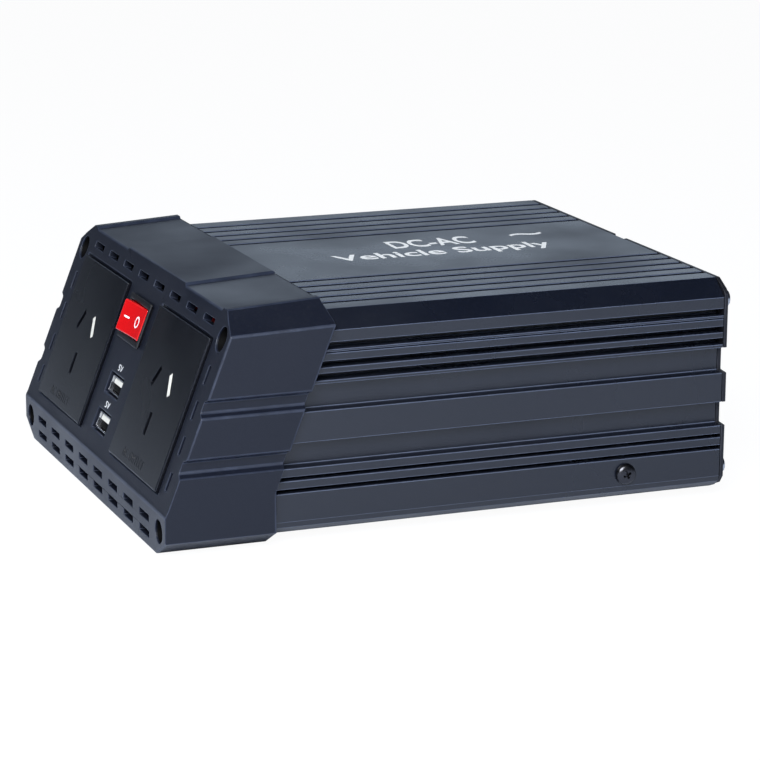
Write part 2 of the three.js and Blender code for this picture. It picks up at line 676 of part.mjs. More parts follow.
function fanFrame() {
  const y = FAN_BACK - FAN_DEPTH / 2;
  const blank = solid(block(FAN_SIZE, FAN_DEPTH, FAN_SIZE, FAN_X, y, FAN_Z));
  const bore = solid(barY(FAN_BORE, FAN_DEPTH + 4, FAN_X, FAN_BACK - FAN_DEPTH - 2, FAN_Z, 40));
  const cup = solid(barY(FAN_HUB, 2.6, FAN_X, FAN_BACK - FAN_DEPTH, FAN_Z, 28));
  const struts = [0, 1, 2].map((i) => solid(
    block(FAN_BORE + 1, 2, 2.4, (FAN_BORE + 1) / 2, 0, 0)
      .rotateY((i * 2 * Math.PI) / 3 + 0.5)
      .translate(FAN_X, FAN_BACK - FAN_DEPTH + 1.3, FAN_Z)));
  const holes = fanCorners().map(([x, z]) => solid(barY(1.9, 20, x, FAN_BACK - 18, z, 12)));
  return placedMesh("fan_frame", without(joined(blank.subtract(bore), cup, ...struts), ...holes), blackPlastic);
}

const BLADE_COUNT = 7;

// One swept blade between the hub and the tip, about the fan's axis.
function fanBlade() {
  const inner = FAN_HUB - 0.8;
  const outer = FAN_BORE - 0.9;
  const stations = 4;
  const positions = [];
  for (let i = 0; i <= stations; i += 1) {
    const t = i / stations;
    const radius = inner + (outer - inner) * t;
    const pitch = THREE.MathUtils.degToRad(48 - 16 * t);
    const chord = 7.6 + 3.4 * t;
    const sweep = 0.22 * t * t;
    for (const [along, thick] of [[-0.5, 0.35], [0.5, 0.35], [0.5, -0.35], [-0.5, -0.35]]) {
      const round = along * chord * Math.cos(pitch) - thick * Math.sin(pitch);
      const deep = along * chord * Math.sin(pitch) + thick * Math.cos(pitch);
      const angle = round / radius + sweep;
      positions.push(radius * Math.cos(angle), deep, radius * Math.sin(angle));
    }
  }
  const index = [0, 2, 1, 0, 3, 2];
  for (let i = 0; i < stations; i += 1) {
    for (let k = 0; k < 4; k += 1) {
      const a = i * 4 + k;
      const b = i * 4 + (k + 1) % 4;
      index.push(a, b, a + 4, b, b + 4, a + 4);
    }
  }
  const last = stations * 4;
  index.push(last, last + 1, last + 2, last, last + 2, last + 3);
  const geometry = new THREE.BufferGeometry();
  geometry.setAttribute("position", new THREE.Float32BufferAttribute(positions, 3));
  geometry.setIndex(index);
  return geometry;
}

function fanRotor() {
  const length = 10.6;
  const hub = solid(turnedY([[0, -length / 2], [FAN_HUB - 1, -length / 2], [FAN_HUB, -length / 2 + 1],
    [FAN_HUB, length / 2 - 1], [FAN_HUB - 1, length / 2], [0, length / 2]], 0, 0, 0, 28));
  const blades = [];
  for (let i = 0; i < BLADE_COUNT; i += 1) {
    blades.push(solid(fanBlade().rotateY((i * 2 * Math.PI) / BLADE_COUNT)));
  }
  const mesh = placedMesh("fan_rotor", joined(hub, ...blades), blackPlastic);
  mesh.position.set(FAN_X, FAN_BACK - 1.4 - length / 2, FAN_Z);
  return mesh;
}

// The wire finger guard: rings welded to four legs that end in eyelets.
function fanGuard() {
  const y = REAR_FACE + GAP + 0.9;
  const ring = (radius) => solid(
    new THREE.TorusGeometry(radius, 0.8, 5, 28).rotateX(Math.PI / 2).translate(FAN_X, y + 0.7, FAN_Z));
  const legs = [0, 1, 2, 3].map((i) => solid(
    new THREE.CylinderGeometry(0.8, 0.8, 24, 6).rotateZ(Math.PI / 2).translate(16.5, 0, 0)
      .rotateY(Math.PI / 4 + (i * Math.PI) / 2).translate(FAN_X, y, FAN_Z)));
  const centre = solid(barY(5.4, 1.4, FAN_X, y - 0.2, FAN_Z, 18));
  const eyelets = fanCorners().map(([x, z]) => solid(barY(3.2, 1.4, x, y - 0.7, z, 12)));
  const eyeHoles = fanCorners().map(([x, z]) => solid(barY(1.9, 6, x, y - 3, z, 12)));
  const guard = joined(ring(10), ring(15.2), ring(20.4), ...legs, centre, ...eyelets);
  return placedMesh("fan_guard", without(guard, ...eyeHoles), brightSteel);
}

function fanScrews() {
  const names = ["upper_left", "upper_right", "lower_left", "lower_right"];
  return fanCorners().map(([x, z], i) => {
    const mesh = placedMesh(`fan_screw_${names[i]}`, panScrew(2.9, 1.8, 1.5, 12), darkSteel);
    mesh.rotation.z = Math.PI;
    mesh.position.set(x, REAR_FACE + 2 * GAP + 1.6, z);
    return mesh;
  });
}

const FLUTE_COUNT = 10;

function thumbNut() {
  const bore = STUD_RADIUS + GAP;
  const profile = [[0, KNOB_LENGTH], [KNOB_RADIUS - 1.6, KNOB_LENGTH], [KNOB_RADIUS - 0.4, KNOB_LENGTH - 1.4],
    [KNOB_RADIUS - 0.4, 2.4], [KNOB_RADIUS, 2], [KNOB_RADIUS, 0], [bore, 0], [bore, KNOB_LENGTH - 2.6],
    [0, KNOB_LENGTH - 2.6]];
  const blank = solid(turnedY(profile.slice().reverse(), 0, 0, 0, 30));
  const flutes = [];
  for (let i = 0; i < FLUTE_COUNT; i += 1) {
    const angle = ((i + 0.5) * 2 * Math.PI) / FLUTE_COUNT;
    flutes.push(solid(barY(0.9, KNOB_LENGTH, (KNOB_RADIUS - 0.2) * Math.cos(angle), 2.6,
      (KNOB_RADIUS - 0.2) * Math.sin(angle), 6)));
  }
  return without(blank, ...flutes);
}

function terminal(sign, look) {
  const x = TERMINAL_X[sign];
  const z = TERMINAL_Z;
  const flangeNear = REAR_FACE + GAP;
  const washerNear = flangeNear + FLANGE + GAP;
  const knobNear = washerNear + 1.2 + GAP;
  const bore = STUD_RADIUS + GAP;
  const bush = [[bore, -PLATE_THICK - 2.4], [5.2, -PLATE_THICK - 2.4], [5.2, 0], [9, 0], [9, FLANGE - 1],
    [8, FLANGE], [bore, FLANGE], [bore, -PLATE_THICK - 2.4]];
  const stud = [[0, -12], [6, -12], [6, -PLATE_THICK - 2.4 - GAP], [STUD_RADIUS, -PLATE_THICK - 2.4 - GAP],
    [STUD_RADIUS, 13.4], [STUD_RADIUS - 0.6, 14], [0, 14]];
  const washer = [[bore, 0], [6.6, 0], [6.6, 1.2], [bore, 1.2], [bore, 0]];
  const knob = placedMesh(`${sign}_knob`, thumbNut(), look);
  knob.position.set(x, knobNear, z);
  return [
    placedMesh(`${sign}_bush`, turnedY(bush, x, flangeNear, z), look),
    placedMesh(`${sign}_stud`, turnedY(stud, x, flangeNear, z), brass),
    placedMesh(`${sign}_washer`, turnedY(washer, x, washerNear, z), brightSteel),
    knob,
  ];
}

function earthScrew() {
  const mesh = placedMesh("earth_screw", panScrew(3.8, 2.4, 1.5, 8), brightSteel);
  mesh.rotation.z = Math.PI;
  mesh.position.set(56, REAR_FACE + GAP, 18);
  return mesh;
}

function feet() {
  return [-1, 1].map((side) => {
    const pad = new THREE.CylinderGeometry(7, 7.6, BODY_FOOT - GAP, 24).rotateX(Math.PI / 2);
    const name = side > 0 ? "foot_right" : "foot_left";
    return placedMesh(name, pad.translate(side * 56, 168, (BODY_FOOT - GAP) / 2), rubber);
  });
}

// ---------- the whole inverter ----------
const inverter = new THREE.Group();
inverter.add(placedMesh("front_cap", frontCap(), capPlastic));
inverter.add(placedMesh("upper_case", upperCase(), anodised));
inverter.add(placedMesh("lower_case", lowerCase(), anodised));
inverter.add(rearPlate());
inverter.add(...capScrews(), ...rearScrews(), ...sideScrews());
inverter.add(...outlets(), ...rockerSwitch(), ...usbPorts());
inverter.add(mainBoard(), ...transformer(), choke(), ...heatBars());
inverter.add(capacitor("bus_capacitor", 30, 92, 11, 34));
inverter.add(capacitor("input_capacitor_left", 6, 152, 8, 26));
inverter.add(capacitor("input_capacitor_right", 44, 152, 8, 26));
inverter.add(switchLead());
inverter.add(fanFrame(), fanRotor(), fanGuard(), ...fanScrews());
inverter.add(...terminal("negative", blackPlastic), ...terminal("positive", redPlastic));
inverter.add(earthScrew(), ...feet());
inverter.position.y = -OVERALL_LENGTH / 2;
inverter.updateMatrixWorld(true);

export default inverter;
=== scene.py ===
# %% [markdown]
# A compact power inverter, built cell by cell.
# The real thing takes the direct current of a vehicle battery and gives mains current. Two long
# aluminium extrusions make the case. A sloping plastic cap closes the front and carries two mains
# outlets, a rocker switch and two USB ports. A steel plate closes the rear and carries the fan and
# two screw terminals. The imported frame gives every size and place, so nothing here is fitted by eye.

# %% Load the frame
import json
import math

import bmesh
import bpy
from mathutils import Matrix, Quaternion, Vector
from mathutils.bvhtree import BVHTree


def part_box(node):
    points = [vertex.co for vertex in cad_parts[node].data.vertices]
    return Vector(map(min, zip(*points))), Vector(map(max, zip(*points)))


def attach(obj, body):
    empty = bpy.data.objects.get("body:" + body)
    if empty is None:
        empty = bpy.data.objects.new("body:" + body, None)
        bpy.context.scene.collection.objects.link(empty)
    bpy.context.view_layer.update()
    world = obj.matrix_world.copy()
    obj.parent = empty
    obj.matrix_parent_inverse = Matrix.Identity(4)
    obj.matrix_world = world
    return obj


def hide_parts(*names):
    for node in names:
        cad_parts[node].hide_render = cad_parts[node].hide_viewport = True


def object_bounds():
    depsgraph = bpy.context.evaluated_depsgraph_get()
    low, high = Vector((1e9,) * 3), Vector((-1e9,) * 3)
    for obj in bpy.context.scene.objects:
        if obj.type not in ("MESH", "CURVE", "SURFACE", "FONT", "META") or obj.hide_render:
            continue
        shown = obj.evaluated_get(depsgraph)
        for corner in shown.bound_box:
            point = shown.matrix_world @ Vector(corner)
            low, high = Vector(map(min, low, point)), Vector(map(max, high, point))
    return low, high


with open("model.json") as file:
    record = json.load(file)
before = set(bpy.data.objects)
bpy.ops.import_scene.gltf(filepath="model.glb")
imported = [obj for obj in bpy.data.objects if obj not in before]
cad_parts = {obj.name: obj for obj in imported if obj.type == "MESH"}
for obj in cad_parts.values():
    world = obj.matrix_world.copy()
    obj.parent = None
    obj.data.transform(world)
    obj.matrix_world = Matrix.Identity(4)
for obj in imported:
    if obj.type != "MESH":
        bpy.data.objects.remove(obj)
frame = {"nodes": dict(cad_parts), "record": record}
scene = bpy.context.scene
nodes = frame["nodes"]
cad_low, cad_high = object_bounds()
MM = 0.001
FRONT = cad_low.y / MM  # the foot of the front, in millimetres
print("frame", len(nodes), "nodes, box", [round(v / MM, 1) for v in (cad_high - cad_low)], "mm")

# %% [markdown]
# The camera comes first. A long lens far away keeps the extrusion's lines nearly parallel, as in a
# catalogue picture. It is placed by an aim point, a distance and three angles, because those are easy
# to read and to change one at a time. The view shows the front, the right side and the top.

# %% Camera
AIM = Vector((0, -2.6, 28.9)) * MM
DISTANCE = 1.001
AZIMUTH = math.radians(68.75)
ELEVATION = math.radians(13.88)
ROLL = math.radians(0.12)
LENS = 141.4


def placed_camera():
    back = Vector((math.sin(AZIMUTH) * math.cos(ELEVATION), -math.cos(AZIMUTH) * math.cos(ELEVATION),
                   math.sin(ELEVATION)))
    camera = bpy.data.objects.new("camera", bpy.data.cameras.new("camera"))
    scene.collection.objects.link(camera)
    camera.data.lens = LENS
    camera.data.sensor_width = 36
    camera.data.clip_start = 0.01
    camera.data.clip_end = 50
    camera.location = AIM + back * DISTANCE
    camera.rotation_mode = "QUATERNION"
    camera.rotation_quaternion = (-back).to_track_quat("-Z", "Y") @ Quaternion((0, 0, 1), ROLL)
    return camera


scene.camera = placed_camera()
print("camera at", [round(v, 3) for v in scene.camera.location])

# %% [markdown]
# The case is dark and nearly a mirror at low angles, so what it reflects matters more than how
# much light falls on it. The room is bright near the floor and dark overhead: the upright faces pick
# up a soft grey, while the chamfer along the top edge, which looks at the ceiling, stays almost black.
# A strong soft panel stands to the right and a weaker one to the front. A dim, wide panel behind on the
# left is there only to be mirrored in the top of the case, and a low strip at the left is mirrored in
# the foot of the sloping front, which makes the outlets paler towards their feet.
# The floor is a plain pale sheet. It is lifted a little towards white where the camera sees it, so
# that the ground reads as a clean studio sheet and keeps only a faint contact shadow.

# %% Room and floor
def new_node(tree, kind, wires=None, **settings):
    """Adds a node, sets its properties, and fills its inputs with numbers or with other sockets."""
    made = tree.nodes.new(kind)
    for key, value in settings.items():
        setattr(made, key, value)
    for key, value in (wires or {}).items():
        socket = made.inputs[key]
        if isinstance(value, bpy.types.NodeSocket):
            tree.links.new(value, socket)
        else:
            socket.default_value = value
    return made


def ranged(tree, value, low, high, to_low=0.0, to_high=1.0, **settings):
    """The value stretched from one range to another, and held at its ends."""
    return new_node(tree, "ShaderNodeMapRange", {"Value": value, "From Min": low, "From Max": high,
                    "To Min": to_low, "To Max": to_high}, **settings).outputs["Result"]


def lit_room(horizon, ceiling, tint):
    """A room seen only in reflections: bright near the floor, dark overhead, white behind the part."""
    world = bpy.data.worlds.new("soft_room")
    scene.world = world
    world.use_nodes = True
    tree = world.node_tree
    tree.nodes.clear()
    where = new_node(tree, "ShaderNodeTexCoord")
    split = new_node(tree, "ShaderNodeSeparateXYZ", {0: where.outputs["Generated"]})
    glow = ranged(tree, split.outputs["Z"], 0.1, 0.55, horizon, ceiling, interpolation_type="SMOOTHSTEP")
    unseen = new_node(tree, "ShaderNodeBackground", {"Color": tint, "Strength": glow})
    seen = new_node(tree, "ShaderNodeBackground", {"Strength": 1.0})
    rays = new_node(tree, "ShaderNodeLightPath")
    both = new_node(tree, "ShaderNodeMixShader",
                    {0: rays.outputs["Is Camera Ray"], 1: unseen.outputs[0], 2: seen.outputs[0]})
    new_node(tree, "ShaderNodeOutputWorld", {"Surface": both.outputs[0]})


def soft_panel(name, place, size, power, colour):
    panel = bpy.data.objects.new(name, bpy.data.lights.new(name, "AREA"))
    scene.collection.objects.link(panel)
    panel.data.shape = "RECTANGLE"
    panel.data.size, panel.data.size_y = size
    panel.data.energy = power
    panel.data.color = colour
    panel.location = place
    panel.rotation_mode = "QUATERNION"
    panel.rotation_quaternion = (AIM - panel.location).to_track_quat("-Z", "Y")


def pale_floor(lift, reach=8, depth=0.2 * MM):
    """A wide sheet just under the part; lift is how far it goes towards white where the camera sees it."""
    mesh = bpy.data.meshes.new("floor")
    corners = [(x * reach, y * reach, -depth) for x, y in ((-1, -1), (1, -1), (1, 1), (-1, 1))]
    mesh.from_pydata(corners, [], [(0, 1, 2, 3)])
    sheet = bpy.data.objects.new("floor", mesh)
    scene.collection.objects.link(sheet)
    look = bpy.data.materials.new("pale_floor")
    look.use_nodes = True
    tree = look.node_tree
    shader = tree.nodes["Principled BSDF"]
    shader.inputs["Base Color"].default_value = (0.66, 0.72, 0.86, 1)
    shader.inputs["Roughness"].default_value = 0.9
    shader.inputs["Specular IOR Level"].default_value = 0.1
    glow = new_node(tree, "ShaderNodeEmission", {"Strength": 1.06})
    rays = new_node(tree, "ShaderNodeLightPath")
    amount = new_node(tree, "ShaderNodeMath", {0: rays.outputs["Is Camera Ray"], 1: lift},
                      operation="MULTIPLY")
    both = new_node(tree, "ShaderNodeMixShader",
                    {0: amount.outputs[0], 1: shader.outputs[0], 2: glow.outputs[0]})
    tree.links.new(both.outputs[0], tree.nodes["Material Output"].inputs["Surface"])
    mesh.materials.append(look)


lit_room(0.045, 0.01, (0.72, 0.88, 1.2, 1))
soft_panel("panel_right", Vector((1.05, -0.5, 0.8)), (0.8, 0.6), 32, (0.95, 0.98, 1.0))
soft_panel("panel_behind", Vector((-2.1, 0.85, 0.62)), (2.4, 0.7), 4.15, (0.7, 0.83, 1.0))
soft_panel("panel_front", Vector((-0.35, -1.25, 0.7)), (0.7, 0.5), 4.5, (0.95, 0.98, 1.0))
soft_panel("panel_low", Vector((-2.0, -0.93, 0.03)), (1.8, 0.06), 0.11, (0.8, 0.9, 1.0))
pale_floor(0.9)
scene.view_settings.view_transform = "Standard"
print("room, four panels and a floor")

# %% [markdown]
# The finishes share a few effects, so each effect is a group of shader nodes, built once and placed
# in each material with its own numbers. All of them read Object coordinates. Every piece sits at the
# origin with its place in its mesh, so those coordinates are the real place in metres and one
# setting looks the same on every piece. Grain is the fine pebble of spark-eroded tooling. Die lines
# are the faint streaks that the extrusion die leaves along the case. Worn and highlit edges pale the
# corners, partly as wear where hands and tables touch and partly as a painted highlight along each
# edge. Settled dust lies on what faces up. Tone drift keeps wide faces alive.

# %% Shared shader effects
def effect_group(name, gives, **takes):
    """A shader node group: its tree, its input sockets in order, and the socket of what it gives. An
    input's label is written with underscores for spaces."""
    tree = bpy.data.node_groups.new(name, "ShaderNodeTree")
    for label, value in takes.items():
        socket = tree.interface.new_socket(label.replace("_", " "), in_out="INPUT",
                                           socket_type="NodeSocketFloat")
        socket.default_value = value
    tree.interface.new_socket(gives, in_out="OUTPUT", socket_type="NodeSocketFloat")
    start, end = tree.nodes.new("NodeGroupInput"), tree.nodes.new("NodeGroupOutput")
    return tree, start.outputs, end.inputs[0]


def maths(tree, operation, first, second=0.0):
    """The socket of one sum; first and second are numbers or sockets."""
    return new_node(tree, "ShaderNodeMath", {0: first, 1: second}, operation=operation).outputs[0]


def place_on(tree, stretch=(1, 1, 1)):
    """Where a point of the piece is, in metres, for a pattern to follow."""
    where = new_node(tree, "ShaderNodeTexCoord").outputs["Object"]
    return new_node(tree, "ShaderNodeMapping", {"Vector": where, "Scale": stretch}).outputs[0]


def noise(tree, place, scale, detail, rough=0.5):
    return new_node(tree, "ShaderNodeTexNoise", {"Vector": place, "Scale": scale, "Detail": detail,
                    "Roughness": rough}).outputs[0]


def moulded_grain():
    tree, takes, height = effect_group("moulded_grain", "Height", Pebbles_per_metre=1500.0)
    place = place_on(tree)
    cells = new_node(tree, "ShaderNodeTexVoronoi", {"Vector": place, "Scale": takes[0]}, feature="SMOOTH_F1")
    cloud = noise(tree, place, takes[0], 2.0)
    tree.links.new(maths(tree, "ADD", cells.outputs["Distance"], cloud), height)
    return tree


def die_lines():
    tree, takes, height = effect_group("die_lines", "Height", Lines_per_metre=900.0)
    tree.links.new(noise(tree, place_on(tree, (1, 0.012, 1)), takes[0], 4.0, 0.7), height)
    return tree


# Pales the faces marked edge: partly wear, partly a painted highlight, which Evenness turns into an unbroken
# bright line.
def worn_and_highlit_edges():
    tree, takes, mask = effect_group("worn_and_highlit_edges", "Mask", Amount=0.5, Evenness=0.0)
    edge = new_node(tree, "ShaderNodeAttribute", attribute_name="edge").outputs["Fac"]
    broken = ranged(tree, noise(tree, place_on(tree), 160.0, 5.0), 0.35, 0.7)
    even = new_node(tree, "ShaderNodeMix", {0: takes["Evenness"], 2: broken, 3: 1.0}, data_type="FLOAT")
    edge_wear_and_highlight = maths(tree, "MULTIPLY", edge, even.outputs[0])
    tree.links.new(maths(tree, "MULTIPLY", edge_wear_and_highlight, takes["Amount"]), mask)
    return tree


def settled_dust():
    tree, takes, mask = effect_group("settled_dust", "Mask", Amount=0.3)
    facing = new_node(tree, "ShaderNodeNewGeometry").outputs["Normal"]
    split = new_node(tree, "ShaderNodeSeparateXYZ", {0: facing})
    upward = ranged(tree, split.outputs["Z"], 0.5, 1.0)
    sparse = ranged(tree, noise(tree, place_on(tree), 900.0, 6.0, 0.8), 0.5, 0.8)
    tree.links.new(maths(tree, "MULTIPLY", maths(tree, "MULTIPLY", upward, sparse), takes[0]), mask)
    return tree


def tone_drift():
    tree, takes, shade = effect_group("tone_drift", "Shade", Patches_per_metre=22.0)
    tree.links.new(noise(tree, place_on(tree), takes[0], 3.0), shade)
    return tree


MAKERS = (moulded_grain, die_lines, worn_and_highlit_edges, settled_dust, tone_drift)
EFFECTS = {maker.__name__: maker() for maker in MAKERS}
print("shader effects:", ", ".join(EFFECTS))

# %% [markdown]
# Every finish starts from the same recipe: a base colour that drifts a little, paler edges that are
# part wear and part painted highlight, a trace of dust, a roughness that varies, and a bump. The
# numbers make it moulded plastic, painted aluminium or plated steel. Constant numbers go straight onto
# the shader's own sockets.

# %% Finish recipe
BUMP = 0.04 * MM  # how high the grain and the die lines stand at full strength
DUST_GREY = (150, 150, 148)


def paint(red, green, blue):
    """A screen colour, 0 to 255, as the linear colour that shaders want."""
    return tuple((v / 255 / 12.92 if v <= 10 else ((v / 255 + 0.055) / 1.055) ** 2.4)
                 for v in (red, green, blue)) + (1.0,)


def effect(tree, name, **numbers):
    """Places an effect's group; its input labels are written with underscores for spaces."""
    placed = tree.nodes.new("ShaderNodeGroup")
    placed.node_tree = EFFECTS[name]
    for label, value in numbers.items():
        placed.inputs[label.replace("_", " ")].default_value = value
    return placed.outputs[0]


def mixed(tree, amount, first, second):
    """A blend of two colours."""
    blend = new_node(tree, "ShaderNodeMix", {0: amount, 6: first, 7: second}, data_type="RGBA")
    return blend.outputs[2]


def finish(name, screen, rough, metal=0.0, lift=1.25, edge=None, edge_wear_and_shine=0.5, dust=0.2, grain=0.0,
           pebbles=1500.0, lines=0.0, coat=0.0, swing=0.08, level=0.5, even=0.0):
    """A material. Lift is how much paler its tone drifts; edge_wear_and_shine and even are how strongly
    and how unbroken its edges are paled, part wear and part a painted highlight; grain and lines are
    the depth of its bump, and level is how much it mirrors."""
    colour = paint(*screen)
    # The edge colour is part wear and part a painted highlight.
    edge_colour = paint(*edge) if edge else tuple(min(1.0, v * 3 + 0.02) for v in colour[:3]) + (1.0,)
    material = bpy.data.materials.new(name)
    material.use_nodes = True
    tree = material.node_tree
    shader = tree.nodes["Principled BSDF"]
    drift = effect(tree, "tone_drift", Patches_per_metre=22.0)
    pale = tuple(min(1.0, v * lift) for v in colour[:3]) + (1.0,)
    base = mixed(tree, drift, colour, pale)
    # Paler edges: part wear, part a painted highlight along each bevel.
    edge_wear_and_highlight = effect(tree, "worn_and_highlit_edges", Amount=edge_wear_and_shine, Evenness=even)
    base = mixed(tree, edge_wear_and_highlight, base, edge_colour)
    lying = effect(tree, "settled_dust", Amount=dust)
    base = mixed(tree, lying, base, paint(*DUST_GREY))
    tree.links.new(base, shader.inputs["Base Color"])
    spread = ranged(tree, drift, 0.3, 0.7, rough - swing, rough + swing)
    dusty = maths(tree, "ADD", spread, maths(tree, "MULTIPLY", lying, 0.5))
    tree.links.new(dusty, shader.inputs["Roughness"])
    shader.inputs["Metallic"].default_value = metal
    shader.inputs["Specular IOR Level"].default_value = level
    shader.inputs["Coat Weight"].default_value = coat
    height = None
    if grain:
        height = maths(tree, "MULTIPLY", effect(tree, "moulded_grain", Pebbles_per_metre=pebbles), grain)
    if lines:
        streaks = maths(tree, "MULTIPLY", effect(tree, "die_lines", Lines_per_metre=900.0), lines)
        height = streaks if height is None else maths(tree, "ADD", height, streaks)
    if height is not None:
        bump = new_node(tree, "ShaderNodeBump", {"Height": height, "Strength": 1.0, "Distance": BUMP})
        tree.links.new(bump.outputs[0], shader.inputs["Normal"])
    return material


FINISH = {
    "cap_plastic": finish("cap_plastic", (14, 18, 30), 0.37, grain=0.45, pebbles=1700, dust=0.05,
                          level=0.42, edge=(64, 72, 92), even=0.5),
    # The case's pale, unbroken edge colour is mostly a painted highlight along the fins, and partly wear.
    "anodised": finish("painted_aluminium", (13, 17, 28), 0.3, lines=0.5, grain=0.2, pebbles=2600,
                       edge_wear_and_shine=0.6, edge=(104, 114, 138), dust=0.04, level=0.75, even=0.75),
    "outlet_plastic": finish("outlet_plastic", (9, 10, 15), 0.22, grain=0.2, pebbles=2200, edge_wear_and_shine=0.4,
                             dust=0.03, even=0.5, edge=(34, 38, 50)),
    "black_plastic": finish("black_plastic", (13, 13, 17), 0.4, grain=0.3, edge_wear_and_shine=0.3, level=0.4,
                            edge=(40, 42, 52)),
    "black_steel": finish("black_steel", (26, 27, 34), 0.45, metal=0.3, grain=0.5, pebbles=1300, edge_wear_and_shine=0.7),
    "rocker_red": finish("rocker_red", (205, 14, 18), 0.16, lift=1.05, edge_wear_and_shine=0.25, dust=0.03, coat=0.35,
                         edge=(240, 90, 90), swing=0.03),
    "red_plastic": finish("red_plastic", (178, 22, 26), 0.36, grain=0.3, edge_wear_and_shine=0.3, edge=(226, 110, 108)),
    "white_plastic": finish("white_plastic", (236, 234, 226), 0.42, lift=1.02, edge_wear_and_shine=0.1),
    "bright_steel": finish("bright_steel", (196, 198, 204), 0.24, metal=1.0, lift=1.1, lines=0.2,
                           edge_wear_and_shine=0.3, dust=0.08),
    "dark_steel": finish("dark_steel", (70, 70, 74), 0.32, metal=1.0, edge_wear_and_shine=0.6, dust=0.08,
                         edge=(170, 170, 172)),
    "brass": finish("brass", (206, 164, 92), 0.28, metal=1.0, lift=1.1, edge_wear_and_shine=0.3, dust=0.05),
    # Painted shade: a near-black, dull finish for linings placed where the inside of a hole is only in shade.
    "painted_shade_black": finish("painted_shade_black", (4, 4, 5), 0.7, edge_wear_and_shine=0.0, dust=0.0, level=0.1),
    "rubber": finish("rubber", (18, 18, 19), 0.85, grain=0.8, pebbles=1200, edge_wear_and_shine=0.1, swing=0.05),
    "board": finish("circuit_board", (28, 92, 54), 0.4, grain=0.3, edge_wear_and_shine=0.1),
    "ferrite": finish("ferrite", (40, 40, 42), 0.7, grain=1.0, pebbles=900, edge_wear_and_shine=0.4),
    "copper_winding": finish("copper_winding", (184, 104, 58), 0.3, metal=0.9, lift=1.15, edge_wear_and_shine=0.2,
                             dust=0.1),
    "bare_aluminium": finish("bare_aluminium", (186, 189, 194), 0.36, metal=1.0, lines=0.8, edge_wear_and_shine=0.2),
    "white_ink": finish("white_ink", (248, 250, 253), 0.5, lift=1.0, edge_wear_and_shine=0.0, dust=0.0),
}
print(len(FINISH), "finishes")

# %% [markdown]
# The CAD solids have perfectly sharp edges, and no moulded or pressed part has. A softened copy fixes
# that: the loose triangles are merged, the flat faces made whole again, and a bevel rounds each real
# edge. Long edges are rounded more than the short ones round slots and holes. The bevel's own faces
# are remembered in an attribute called edge, which the worn-and-highlit-edges effect reads to pale
# them with wear and a painted highlight.

# %% Helpers for whole pieces
def kept(name, work):
    """The bmesh as a new mesh."""
    mesh = bpy.data.meshes.new(name)
    work.to_mesh(mesh)
    work.free()
    return mesh


def joined(name, meshes, outward=False):
    """Several meshes as one, with its faces turned outwards where that is asked for."""
    work = bmesh.new()
    for mesh in meshes:
        work.from_mesh(mesh)
    if outward:
        bmesh.ops.recalc_face_normals(work, faces=work.faces)
    return kept(name, work)


def middle(node):
    """The middle of a CAD node's box."""
    low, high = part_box(node)
    return (low + high) / 2


def shown(name, mesh):
    """A new object in the scene."""
    piece = bpy.data.objects.new(name, mesh)
    scene.collection.objects.link(piece)
    return piece


def settled(piece):
    """The piece with its modifiers worked into a plain mesh."""
    graph = bpy.context.evaluated_depsgraph_get()
    mesh = bpy.data.meshes.new_from_object(piece.evaluated_get(graph), depsgraph=graph)
    piece.modifiers.clear()
    piece.data = mesh
    return piece


def dressed(piece, look, body="case", stands_for=()):
    """Gives a finished piece its finish and its body, and hides the CAD nodes that it stands for."""
    piece.data.materials.clear()
    piece.data.materials.append(FINISH[look])
    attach(piece, body)
    if stands_for:
        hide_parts(*stands_for)
    return piece


JOIN = 2e-6  # points nearer than this, in metres, are one point


def whole_faces(mesh, flat=0.8):
    """A bmesh of a CAD node's triangles, merged, and with the faces that lie within so many degrees of
    flat made whole."""
    work = bmesh.new()
    work.from_mesh(mesh)
    bmesh.ops.remove_doubles(work, verts=work.verts, dist=JOIN)
    bmesh.ops.dissolve_degenerate(work, edges=work.edges, dist=JOIN)
    bmesh.ops.dissolve_limit(work, angle_limit=math.radians(flat), verts=work.verts, edges=work.edges)
    many_sided = [face for face in work.faces if len(face.verts) > 4]
    bmesh.ops.triangulate(work, faces=many_sided, ngon_method="BEAUTY")
    return work


def smooth_by_angle(mesh, degrees=32):
    """Smooth shading, apart from the edges that turn by more than an angle."""
    mesh.shade_smooth()
    mesh.set_sharp_from_angle(angle=math.radians(degrees))


def mark_edges(mesh, is_edge):
    """Writes the attribute that the worn-and-highlit-edges effect reads, for wear and a painted highlight."""
    layer = mesh.attributes.new("edge", "FLOAT", "FACE")
    layer.data.foreach_set("value", [float(is_edge(face)) for face in mesh.polygons])


def levelled(piece):
    """Wide faces shaded flat: their corners' normals lean towards the larger face."""
    level = piece.modifiers.new("level", "WEIGHTED_NORMAL")
    level.keep_sharp = True
    return settled(piece)


def softened(node, look, body="case", long_round=0.5, short_round=0.2, long_from=11.0, steps=2, sharp=26):
    """A bevelled copy in place of a CAD node; rounds and lengths in millimetres, sharp in degrees. The
    bevel's faces take the second of two material slots, which tells them from the rest."""
    work = whole_faces(nodes[node].data)
    weight = work.edges.layers.float.new("bevel_weight_edge")
    for line in work.edges:
        if line.is_manifold and line.calc_face_angle(0) > math.radians(sharp):
            line[weight] = 1.0 if line.calc_length() > long_from * MM else short_round / long_round
    mesh = kept(node + "_soft", work)
    mesh.materials.append(None)
    mesh.materials.append(None)
    mesh.shade_smooth()
    piece = shown(node + "_soft", mesh)
    bevel = piece.modifiers.new("round", "BEVEL")
    bevel.limit_method = "WEIGHT"
    bevel.width = long_round * MM
    bevel.segments = steps
    bevel.use_clamp_overlap = False
    bevel.material = 1
    bevel.miter_outer = "MITER_ARC"
    levelled(piece)
    mark_edges(piece.data, lambda face: face.material_index == 1)
    for face in piece.data.polygons:
        face.material_index = 0
    dressed(piece, look, body, (node,))
    print(piece.name, len(piece.data.polygons), "faces")
